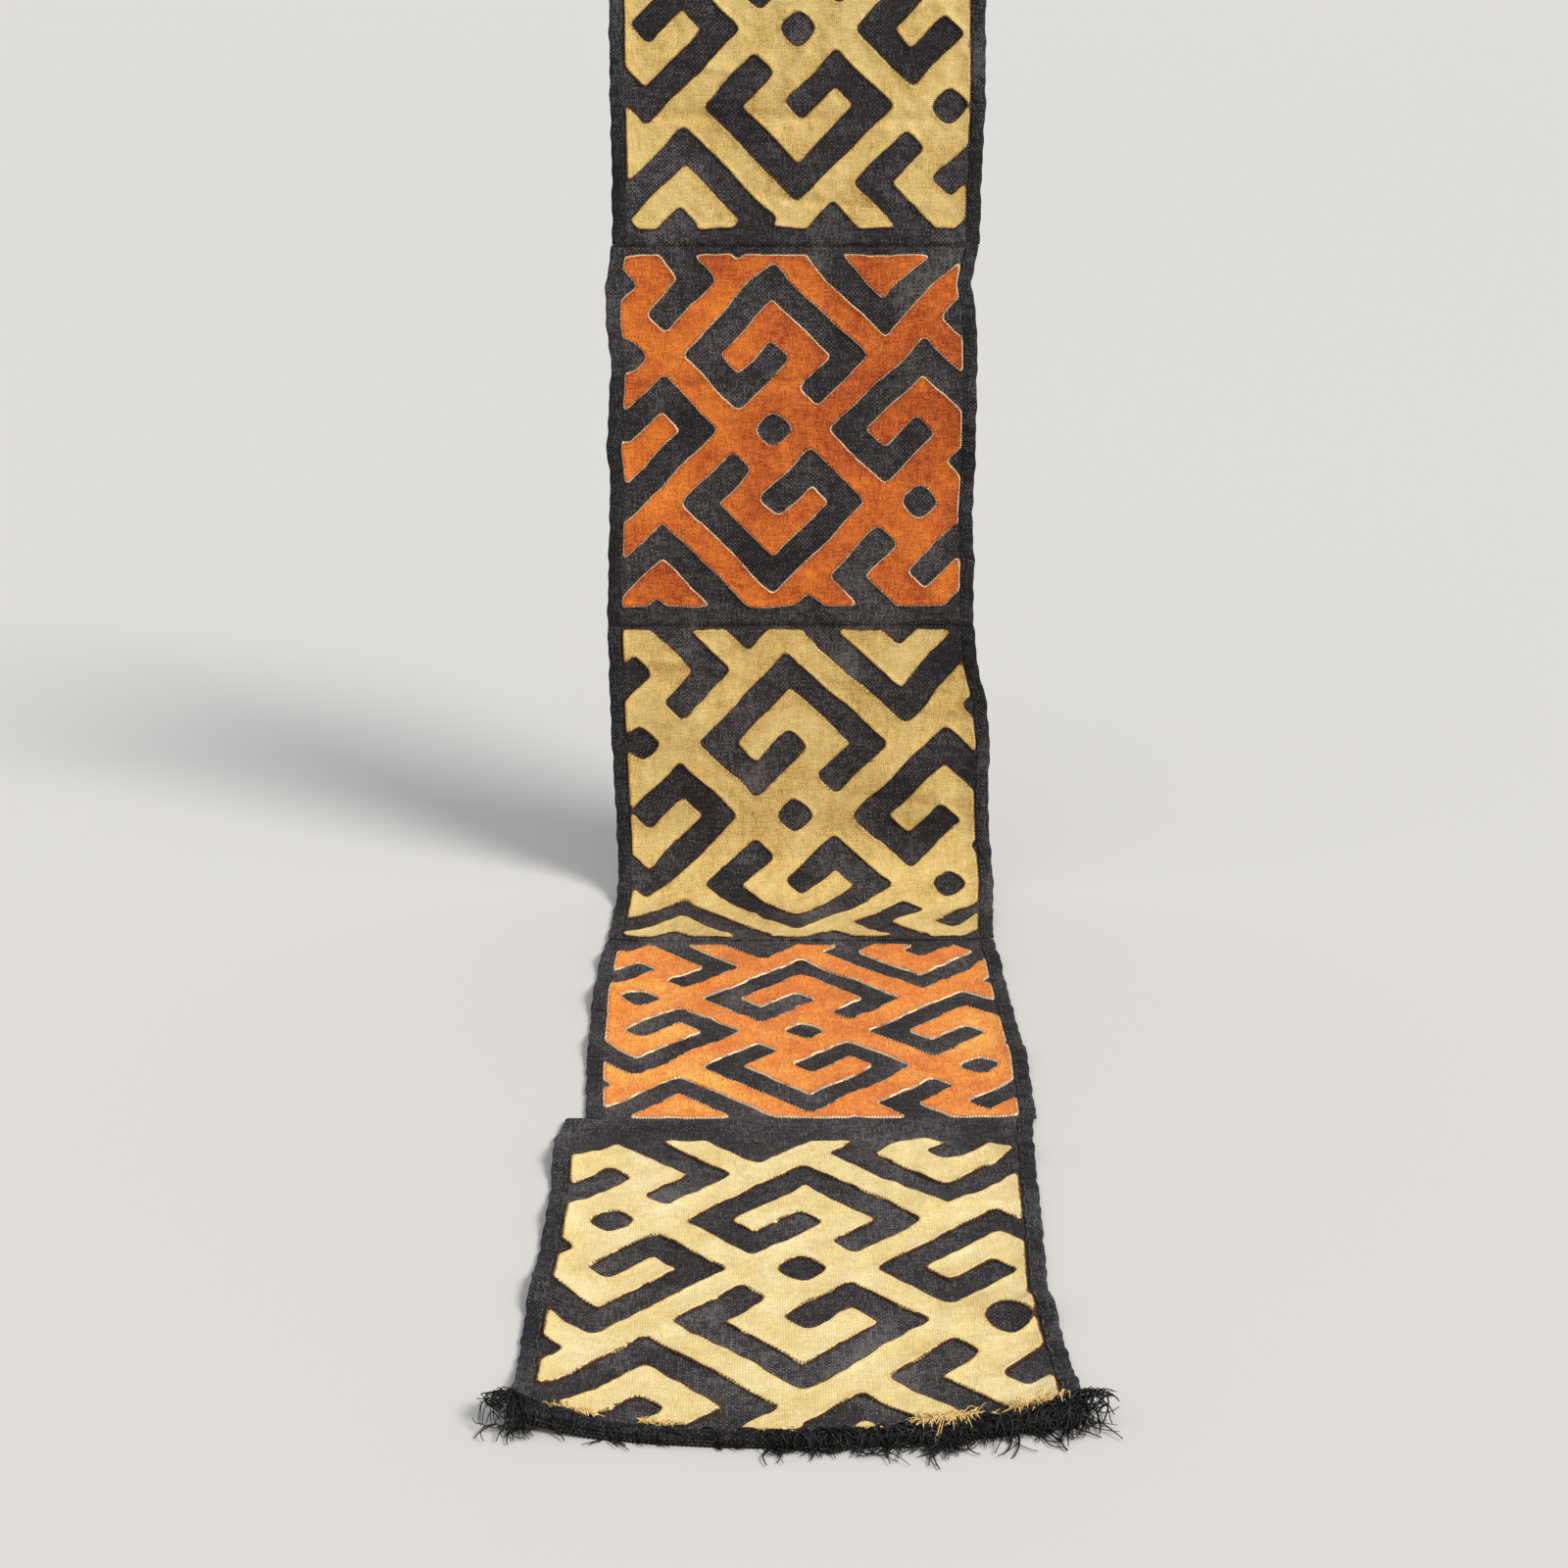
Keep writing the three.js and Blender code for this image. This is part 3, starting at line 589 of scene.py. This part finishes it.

# Changes of tone, given one by one: panel, percent across, percent along, reach in percent, change of tone
TONE_CHANGES = [
    # The rows with a reach of 150 or 200 cover a whole panel: they make the two lying panels, 4 and 5,
    # paler overall and the hanging orange panel 2 darker overall.
    (4, 50, 50, 150, 0.22), (4, 12, 70, 26, 0.15), (4, 6, 25, 22, 0.1), (4, 92, 60, 20, 0.12),
    (4, 44, 42, 22, -0.1), (4, 40, 15, 16, -0.06), (4, 70, 85, 18, -0.08), (4, 30, 88, 14, 0.12),
    (2, 50, 50, 150, -0.1),
    (2, 80, 45, 30, -0.09), (2, 22, 25, 22, 0.14), (2, 8, 62, 14, 0.14), (2, 55, 82, 18, 0.1),
    (2, 18, 4, 12, -0.12), (2, 75, 28, 16, -0.03), (2, 90, 78, 14, 0.08), (2, 12, 90, 12, -0.07),
    (2, 57, 94, 10, -0.12), (2, 45, 45, 14, -0.03), (1, 50, 70, 30, -0.06), (1, 60, 25, 35, 0.05),
    (3, 60, 20, 30, -0.04), (5, 50, 50, 200, 0.3), (5, 80, 62, 16, -0.08), (5, 79, 32, 5, -0.14)]


def fading_at(panel, along, across):
    """Change of tone: each listed patch falls off as a bell curve of the distance from its middle."""
    left, right = side_edges(panel, along)
    x = 100 * (across - left) / (right - left)
    y = 100 * (along - panel.start) / (panel.end - panel.start)
    change = 0 * along
    for number, middle_x, middle_y, reach, amount in TONE_CHANGES:
        if number == panel.number:
            change = change + amount * np.exp(-((x - middle_x) ** 2 + (y - middle_y) ** 2) / reach ** 2)
    return change


overlays = {}
cut_lines = {}
for panel, chart in zip(PANELS, CHARTS):
    rows = round((panel.end - panel.start) / OVERLAY_CELL)
    columns = round(NOMINAL_WIDTH / OVERLAY_CELL)
    along = np.linspace(panel.start, panel.end, rows)[:, None] + np.zeros(columns)
    left, right = side_edges(panel, along)
    across = left + (right - left) * np.linspace(0, 1, columns)
    distance = soften(overlay_distance(panel, chart, along, across)).ravel()
    places = np.stack([across, along], -1).reshape(-1, 2)
    quads = grid_faces(rows, columns)
    triangles = np.concatenate([quads[:, [0, 1, 2]], quads[:, [0, 2, 3]]])
    places, distance, triangles, _, cut_line = split_at(0.0, places, distance, triangles)
    cut_lines[panel.number] = (places, distance, cut_line)
    for ring in RIM_RINGS:
        places, distance, higher, lower, _ = split_at(ring, places, distance, triangles)
        triangles = np.concatenate([higher, lower])
    used, triangles = np.unique(triangles, return_inverse=True)
    triangles = triangles.reshape(-1, 3)
    places, distance = places[used], distance[used]
    across, along = places.T
    height = np.interp(distance, RIM_DISTANCE, RIM_HEIGHT)
    height = height + 0.3 * wander(along, across, 16, 70 + panel.number)
    height = height + 0.4 * wander(along, across, 48, 80 + panel.number) ** 2
    points = lay(panel, along, across, height)
    overlay = make_piece(f"cut_overlay_{panel.number}", points, triangles, places,
                         edge=distance, fading=fading_at(panel, along, across))
    overlay.data.materials.append(OVERLAY_MATERIALS[panel.cloth])
    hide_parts(f"overlay_{panel.number}")
    overlays[panel.number] = overlay

# Overcast stitches
# Raffia fibre sewn over every cut edge by hand: each stitch comes up through the ground just outside the
# edge, crosses the rim on a slant and goes down through both cloths.

STITCH_RADIUS = 0.3
STITCH_REACH = [-0.6, -0.1, 0.7, 1.7]
STITCH_HEIGHT = [0.95, 2.1, 2.95, 2.3]
STITCH_SLANT = 0.55


def make_strands(paths, radius):
    """Thin fibres along many paths at once: a triangle stands across the path at each of its points, the
    triangles are joined in rings, and both ends are closed. paths is strands by points by 3."""
    strands, steps = paths.shape[:2]
    way = np.gradient(paths, axis=1)
    way = way / np.linalg.norm(way, axis=2, keepdims=True)
    side = np.cross(way, np.array([0.36, 0.15, 0.92]))
    side = side / np.linalg.norm(side, axis=2, keepdims=True)
    up = np.cross(side, way)
    angle = 2 * np.pi * np.arange(3)[:, None] / 3
    ring = np.cos(angle) * side[:, :, None] + np.sin(angle) * up[:, :, None]
    points = paths[:, :, None] + radius[..., None, None] * ring
    index = np.arange(strands * steps * 3).reshape(strands, steps, 3)
    near, far = index[:, :-1], index[:, 1:]
    near_next, far_next = np.roll(near, -1, 2), np.roll(far, -1, 2)
    faces = [np.stack([near, far, far_next], -1), np.stack([near, far_next, near_next], -1),
             index[:, :1, None], index[:, -1:, None, ::-1]]
    return points.reshape(-1, 3), np.concatenate([part.reshape(-1, 3) for part in faces])


def make_thread(name, dark, light, roughness, shine=0.5):
    """Sewing fibre: each stitch has its own tone between two colours."""
    material = bpy.data.materials.new(name)
    material.use_nodes = True
    tree = material.node_tree
    tone = add_node(tree, "ShaderNodeAttribute", attribute_name="tone").outputs["Fac"]
    colour = ramp(tree, tone, (0.0, dark), (1.0, light))
    place = add_node(tree, "ShaderNodeTexCoord").outputs["Object"]
    fibre = noise(tree, place, (900, 900, 900))
    bump = add_node(tree, "ShaderNodeBump", {"Strength": 0.3, "Distance": 0.0002, "Height": fibre})
    shader = tree.nodes["Principled BSDF"]
    tree.links.new(colour, shader.inputs["Base Color"])
    tree.links.new(bump.outputs[0], shader.inputs["Normal"])
    shader.inputs["Roughness"].default_value = roughness
    shader.inputs["Specular IOR Level"].default_value = shine
    return material


THREADS = {
    "yellow": make_thread("rust_thread", (0.05, 0.02, 0.01), (0.3, 0.13, 0.04), 0.75),
    "orange": make_thread("cream_thread", (0.5, 0.26, 0.1), (0.95, 0.8, 0.52), 0.7),
}

stitch_rows = {}
for panel, chart in zip(PANELS, CHARTS):
    places, distance, cut_line = cut_lines[panel.number]
    start, stop = places[cut_line[:, 0]], places[cut_line[:, 1]]
    step = stop - start
    length = np.hypot(step[:, 0], step[:, 1])
    kept = length > 0.5 * OVERLAY_CELL
    middle, tangent = (start + stop)[kept] / 2, step[kept] / length[kept, None]
    inward = np.stack([-tangent[:, 1], tangent[:, 0]], 1)
    ahead = middle + inward * OVERLAY_CELL
    rim_side = overlay_distance(panel, chart, ahead[:, 1], ahead[:, 0])
    inward = np.where(rim_side[:, None] > 0, inward, -inward)
    rng = np.random.default_rng(300 + panel.number)
    slant = STITCH_SLANT + rng.normal(0, 0.2, len(middle))
    reach = np.array(STITCH_REACH) * rng.uniform(0.8, 1.2, (len(middle), 1))
    slanted = inward[:, None] + slant[:, None, None] * tangent[:, None]
    places = middle[:, None] + reach[..., None] * slanted
    paths = lay(panel, places[..., 1], places[..., 0], np.array(STITCH_HEIGHT))
    points, faces = make_strands(paths, np.full(paths.shape[:2], STITCH_RADIUS))
    tone = np.repeat(rng.beta(2, 2, len(middle)), len(STITCH_REACH) * 3)
    stitches = make_piece(f"edge_stitches_{panel.number}", points, faces, tone=tone)
    stitches.data.materials.append(THREADS[panel.cloth])
    stitch_rows[panel.number] = stitches

# Side bindings
# A strip of black cloth folded round each long side of each panel and sewn through. The sewing draws it
# into small cross crinkles, deepest by the seam, and its fold is soft and not quite straight.

BINDING_STEP = 1.6
BINDING_INSET = [12.0, 11.8, 11.2, 10.2, 8.7, 7.0, 5.2, 3.4, 1.6, 0.5, 0.0, 0.0, 0.6, 2.4, 6.0, 9.0, 11.6]
BINDING_HEIGHT = [0.8, 1.5, 1.75, 1.7, 2.3, 2.6, 2.5, 2.45, 2.3, 1.9, 1.1, -0.1, -0.9, -1.25, -1.3,
                  -1.3, -0.9]
BINDING_CRINKLE = [0.0, 0.3, 0.8, 1.0, 0.9, 0.7, 0.5, 0.35, 0.25, 0.15, 0.05, 0.0, 0.0, 0.0, 0.0, 0.0, 0.0]
CRINKLE_HEIGHT = 0.62
SEAM_INSET = 10.2
SEAM_PITCH = 4.6
SEAM_RADIUS = 0.32


def ripple(along, lengths, seed):
    """Uneven wave along a line, about -1 to 1: sine waves of the given lengths with seeded phases."""
    phases = np.random.default_rng(seed).uniform(0, 2 * np.pi, len(lengths))
    waves = np.sin(2 * np.pi * along[..., None] / np.array(lengths) + phases)
    return waves.sum(-1) / math.sqrt(len(lengths))


binding_material = make_black_raffia(
    "black_binding_cloth", (0.0045, 0.0042, 0.0044), (0.0145, 0.0137, 0.0144), (0.11, 0.107, 0.11),
    (0.92, 0.87, 0.83))
seam_thread = make_thread("binding_thread", (0.02, 0.02, 0.022), (0.30, 0.25, 0.18), 0.8)

trims = {}
for panel in PANELS:
    trims[panel.number] = [stitch_rows[panel.number]]
    seam_paths = []
    for side, sign in (("left", 1), ("right", -1)):
        seed = 20 * panel.number + (sign > 0)
        rows = round((panel.end - panel.start) / BINDING_STEP)
        along = np.linspace(panel.start + GAP, panel.end - GAP, rows)
        along = along[:, None] + np.zeros(len(BINDING_INSET))
        closing = smooth(np.minimum(along - panel.start, panel.end - along) / (2 * BINDING_STEP))
        inset = np.array(BINDING_INSET) + 0.5 * ripple(along, (17, 29, 47), seed + 400)
        crinkle = ripple(along + 0.35 * inset, (5.3, 7.7, 11, 17, 29), seed + 500)
        height = np.array(BINDING_HEIGHT) + CRINKLE_HEIGHT * crinkle * np.array(BINDING_CRINKLE)
        height = GROUND_THICKNESS / 2 + (height - GROUND_THICKNESS / 2) * (0.15 + 0.85 * closing)
        left, right = side_edges(panel, along)
        across = left + inset if sign > 0 else right - inset
        points = lay(panel, along, across, height).reshape(-1, 3)
        faces = grid_faces(*along.shape)
        faces = faces[:, ::-1] if sign > 0 else faces
        steps = np.hypot(np.diff(BINDING_INSET), np.diff(BINDING_HEIGHT))
        round_edge = np.concatenate([[0], np.cumsum(steps)])
        flat_place = np.stack([round_edge + 0 * along + 50 * seed, along], -1).reshape(-1, 2)
        binding = make_piece(f"binding_{side}_cloth_{panel.number}", points, faces, flat_place)
        binding.data.materials.append(binding_material)
        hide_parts(f"binding_{side}_{panel.number}")
        trims[panel.number].append(binding)
        count = round((panel.end - panel.start) / SEAM_PITCH)
        rng = np.random.default_rng(seed + 600)
        at = np.linspace(panel.start + 4, panel.end - 4, count) + rng.normal(0, 0.4, count)
        at = at[:, None] + np.array([-1.3, -0.5, 0.5, 1.3])
        left, right = side_edges(panel, at)
        seam = SEAM_INSET + 0.5 * ripple(at, (17, 29, 47), seed + 400)
        seam = left + seam if sign > 0 else right - seam
        seam_paths.append(lay(panel, at, seam, np.array([1.6, 2.35, 2.35, 1.6])))
    paths = np.concatenate(seam_paths)
    points, faces = make_strands(paths, np.full(paths.shape[:2], SEAM_RADIUS))
    tone = np.repeat(np.random.default_rng(700 + panel.number).beta(1.2, 3.0, len(paths)), 12)
    seam = make_piece(f"binding_stitches_{panel.number}", points, faces, tone=tone)
    seam.data.materials.append(seam_thread)
    trims[panel.number].append(seam)

# End band
# A thick black band woven on to the lying end: cords of raffia laid side by side and wrapped, which show
# as ribs along the band with small beads where the wrapping crosses them. It is deeper at the corners.

BAND_HEIGHT = 8.0
BAND_DEPTH = 10.0
BAND_FLARE = 12.0
BAND_OVERHANG = 2.0
BAND_STEP = 0.6
BAND_POINTS = 65
RIB_COUNT = 16
RIB_HEIGHT = 0.45
BEAD_LENGTH = 2.6
BEAD_HEIGHT = 0.35


def end_line(across, front):
    """The y of a line in front of the last panel's bowed end."""
    left, right = LAST.edges[-1, 1:]
    inside = np.clip(across, left, right)
    return lay(LAST, np.full_like(inside, LAST.end), inside, 0)[..., 1] - front


def band_depth(across):
    """Depth of the band from back to front, greater toward the corners by the square of the distance."""
    left, right = LAST.edges[-1, 1:]
    side = np.clip((2 * across - left - right) / (right - left), -1, 1)
    return BAND_DEPTH + BAND_FLARE * side ** 2


left, right = LAST.edges[-1, 1:]
band_from, band_to = left - BAND_OVERHANG, right + BAND_OVERHANG
across = np.linspace(band_from, band_to, round((band_to - band_from) / BAND_STEP))[:, None]
angle = np.linspace(0, 2 * np.pi, BAND_POINTS)
ribs = RIB_HEIGHT * np.cos(RIB_COUNT * angle)
rib_number = np.round(RIB_COUNT * angle / (2 * np.pi))
beads = BEAD_HEIGHT * np.sin(2 * np.pi * across / BEAD_LENGTH + np.pi * rib_number)
thick = 1 - 0.6 * smooth(1 - np.minimum(across - band_from, band_to - across) / 6)
proud = 1 + (ribs + beads - RIB_HEIGHT - BEAD_HEIGHT) / (BAND_DEPTH / 2)
front = band_depth(across) / 2 * (1 - thick * proud * np.cos(angle))
height = BAND_HEIGHT * np.maximum(0.02, 0.12 + 0.88 * thick * proud * np.sin(angle))
base = folds(np.full_like(across, LAST.end), across)
points = np.stack([across + 0 * front, end_line(across, GAP) - front, base + height], -1).reshape(-1, 3)
flat_place = np.stack([across + 0 * front, 6 * angle + 0 * front], -1).reshape(-1, 2)
band_material = make_black_raffia(
    "black_band_cords", (0.003, 0.0028, 0.003), (0.009, 0.0083, 0.0085), (0.07, 0.067, 0.068),
    (0.9, 0.86, 0.82))
band = make_piece("end_band_cords", points, grid_faces(len(across), BAND_POINTS)[:, ::-1], flat_place)
band.data.materials.append(band_material)
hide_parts("end_band")

# Fringe
# Loose ends of black raffia along the band, split fine: matted over its right half and in a tuft at each
# corner, thin along the left, with single ends that stick out over the floor.

STRAND_STEPS = 8
LOCK = 4  # fibres that keep together

# Middle and reach across, number, heading from straight ahead and its spread, lengths, curl and lift
TANGLES = [
    (-95, 75, 24, 1.5, 0.4, (8, 22), 0.7, 1.0), (5, 35, 60, 1.3, 0.6, (7, 18), 1.4, 1.8),
    (95, 75, 300, 1.3, 0.6, (8, 26), 1.6, 2.8), (-85, 90, 48, 0.0, 0.8, (3, 8), 1.2, 0.8),
    (75, 95, 160, 0.0, 0.8, (4, 11), 1.4, 1.8), (0, 170, 28, 0.0, 0.9, (8, 15), 0.4, 3.0),
    (-172, 10, 120, -1.3, 0.9, (7, 19), 2.6, 4.5), (158, 10, 84, 1.3, 0.7, (7, 20), 1.2, 4.5)]


def band_top(across, front):
    """Height of the band's rounded top at a distance before the cloth's end, and of the floor past it."""
    share = np.clip(2 * front / band_depth(across) - 1, -1, 1)
    lifted = folds(np.full_like(across, LAST.end), across) * (1 - smooth(front / band_depth(across) - 0.5))
    return lifted + BAND_HEIGHT * np.sqrt(1 - share ** 2)


def lying_strands(across, front, heading, lengths, curl, lift, cloth_height):
    """Fibre paths on the band: each sets out from its root at a heading, turns evenly by its curl, keeps to
    the band's top, or the cloth's behind it, and rises between its ends by its lift."""
    t = np.linspace(0, 1, STRAND_STEPS)
    bearing = heading[:, None] + curl[:, None] * t
    step = lengths[:, None] / (STRAND_STEPS - 1)
    x = across[:, None] + np.cumsum(step * np.sin(bearing), 1)
    ahead = front[:, None] + np.cumsum(step * np.cos(bearing), 1)
    on_cloth = cloth_height * (1 - smooth(ahead / 3 - 0.2))
    z = np.maximum(band_top(x, ahead), on_cloth) + 0.9 + lift[:, None] * np.sin(np.pi * 0.85 * t) ** 2
    return np.stack([x, end_line(x, ahead), z], -1)


rng = np.random.default_rng(41)
paths = []
for middle, reach, count, turned, spread, (shortest, longest), curl, lift in TANGLES:
    lock = np.arange(count) // LOCK
    across = middle + reach * rng.uniform(-1, 1, count)[lock] + rng.normal(0, 1.3, count)
    root = band_depth(across) * (rng.uniform(0.2, 1.05, count) if turned else rng.uniform(0.7, 1.0, count))
    way = rng.choice([-1, 1], count)[lock] if reach > 20 else 1
    heading = way * turned + rng.normal(0, spread, count)[lock] + rng.normal(0, 0.35, count)
    curls = rng.normal(0, curl, count)[lock] + rng.normal(0, 0.4 * curl, count)
    paths.append(lying_strands(across, root, heading, rng.uniform(shortest, longest, count), curls,
                               lift * rng.uniform(0, 1, count), 0.0))
paths = np.concatenate(paths)
taper = np.linspace(1, 0.5, STRAND_STEPS) * rng.uniform(0.42, 0.9, (len(paths), 1))
points, faces = make_strands(paths, taper)
tone = np.repeat(rng.beta(1.0, 5.0, len(paths)), STRAND_STEPS * 3)
fringe_material = make_thread(
    "black_fringe_raffia", (0.002, 0.002, 0.0022), (0.07, 0.067, 0.065), 0.4, 0.18)
fringe = make_piece("fringe_strands", points, faces, tone=tone)
fringe.data.materials.append(fringe_material)
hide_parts("fringe")

# Frayed end
# The yellow overlay's raw lower edge, left unhemmed over the band: loose fibres all along it, with bushy
# places at the corners and right of the middle.

FRAY_ROOT = 6.0
FRAY_HEIGHT = 2.2

# Middle, reach, number, lengths and lift
FRAYS = [(-5, 168, 260, (2, 5), 0.5), (77, 20, 520, (6, 16), 4.0), (142, 21, 420, (5, 15), 5.0),
         (-155, 19, 220, (4, 11), 3.0), (-110, 34, 240, (3, 8), 1.6)]

paths = []
for middle, reach, count, (shortest, longest), lift in FRAYS:
    lock = np.arange(count) // LOCK
    across = middle + reach * rng.uniform(-1, 1, count)[lock] + rng.normal(0, 0.9, count)
    heading = rng.normal(0, 0.8, count)[lock] + rng.normal(0, 0.35, count)
    strands = lying_strands(across, -rng.uniform(2.5, 5.0, count), heading,
                            rng.uniform(shortest, longest, count) * rng.uniform(0.6, 1.1, count)[lock],
                            rng.normal(0, 1.5, count)[lock], lift * rng.uniform(0.1, 1, count),
                            END_RISE + FRAY_HEIGHT)
    on_overlay = overlay_distance(LAST, CHARTS[-1], np.full(count, LAST.end - FRAY_ROOT), across) > 0
    paths.append(strands[on_overlay])
paths = np.concatenate(paths)
taper = np.linspace(1, 0.45, STRAND_STEPS) * rng.uniform(0.38, 0.8, (len(paths), 1))
points, faces = make_strands(paths, taper)
tone = np.repeat(rng.beta(2, 2, len(paths)), STRAND_STEPS * 3)
fray = make_piece("frayed_end", points, faces, tone=tone)
fray.data.materials.append(make_thread("yellow_fray", (0.56, 0.31, 0.05), (0.95, 0.75, 0.34), 0.6))

# Ground cloths
# The length of each ground cloth with a lap for each end that tucks under a neighbour. The upper two hang
# from the top edge; the others rest on the floor.

for panel in PANELS:
    length = panel.end - panel.start + LAP * len(panel.under)

# Floor, light and camera
# A plain pale floor, soft light from the right and front with a wide fill, and the viewer standing before
# the lying end, looking a little down.

FLOOR_HALF = 40.0
FLOOR_DROP = 0.0004
SUN_WIDTH = math.radians(22)

corners = np.array([(-1, -1), (1, -1), (1, 1), (-1, 1)]) * FLOOR_HALF
floor_mesh = bpy.data.meshes.new("floor")
floor_mesh.from_pydata([(x, y, -FLOOR_DROP) for x, y in corners], [], [(0, 1, 2, 3)])
floor = bpy.data.objects.new("floor", floor_mesh)
bpy.context.scene.collection.objects.link(floor)
floor_material = bpy.data.materials.new("pale_floor")
floor_material.use_nodes = True
floor_shader = floor_material.node_tree.nodes["Principled BSDF"]
floor_shader.inputs["Base Color"].default_value = (0.62, 0.60, 0.57, 1)
floor_shader.inputs["Roughness"].default_value = 0.6
floor_mesh.materials.append(floor_material)


def add_soft_sun(name, toward, strength, colour):
    """Wide even light from a direction, soft as light through a large window."""
    data = bpy.data.lights.new(name, "SUN")
    data.energy = strength
    data.angle = SUN_WIDTH
    data.color = colour
    light = bpy.data.objects.new(name, data)
    light.rotation_euler = mathutils.Vector(toward).to_track_quat("Z", "Y").to_euler()
    bpy.context.scene.collection.objects.link(light)


add_soft_sun("window_side", (0.6, -0.42, 0.68), 2.8, (1.0, 0.98, 0.95))

world = bpy.data.worlds.new("studio")
world.use_nodes = True
world.node_tree.nodes["Background"].inputs["Color"].default_value = (0.92, 0.95, 1.0, 1)
world.node_tree.nodes["Background"].inputs["Strength"].default_value = 0.66
bpy.context.scene.world = world
bpy.context.scene.view_settings.view_transform = "Standard"

# Focal length for a 36 mm sensor, tilt down from level, turn to the right, and place of the eye
LENS = 59.6
TILT = math.radians(14.35)
TURN = math.radians(0.5)
EYE = (-0.026, -1.58, 0.851)
FRAME_SHIFT = -0.12

camera_data = bpy.data.cameras.new("viewer")
camera_data.sensor_width = 36
camera_data.lens = LENS
camera_data.shift_y = FRAME_SHIFT
camera = bpy.data.objects.new("viewer", camera_data)
camera.location = EYE
camera.rotation_euler = (math.pi / 2 - TILT, 0, -TURN)
bpy.context.scene.collection.objects.link(camera)
bpy.context.scene.camera = camera
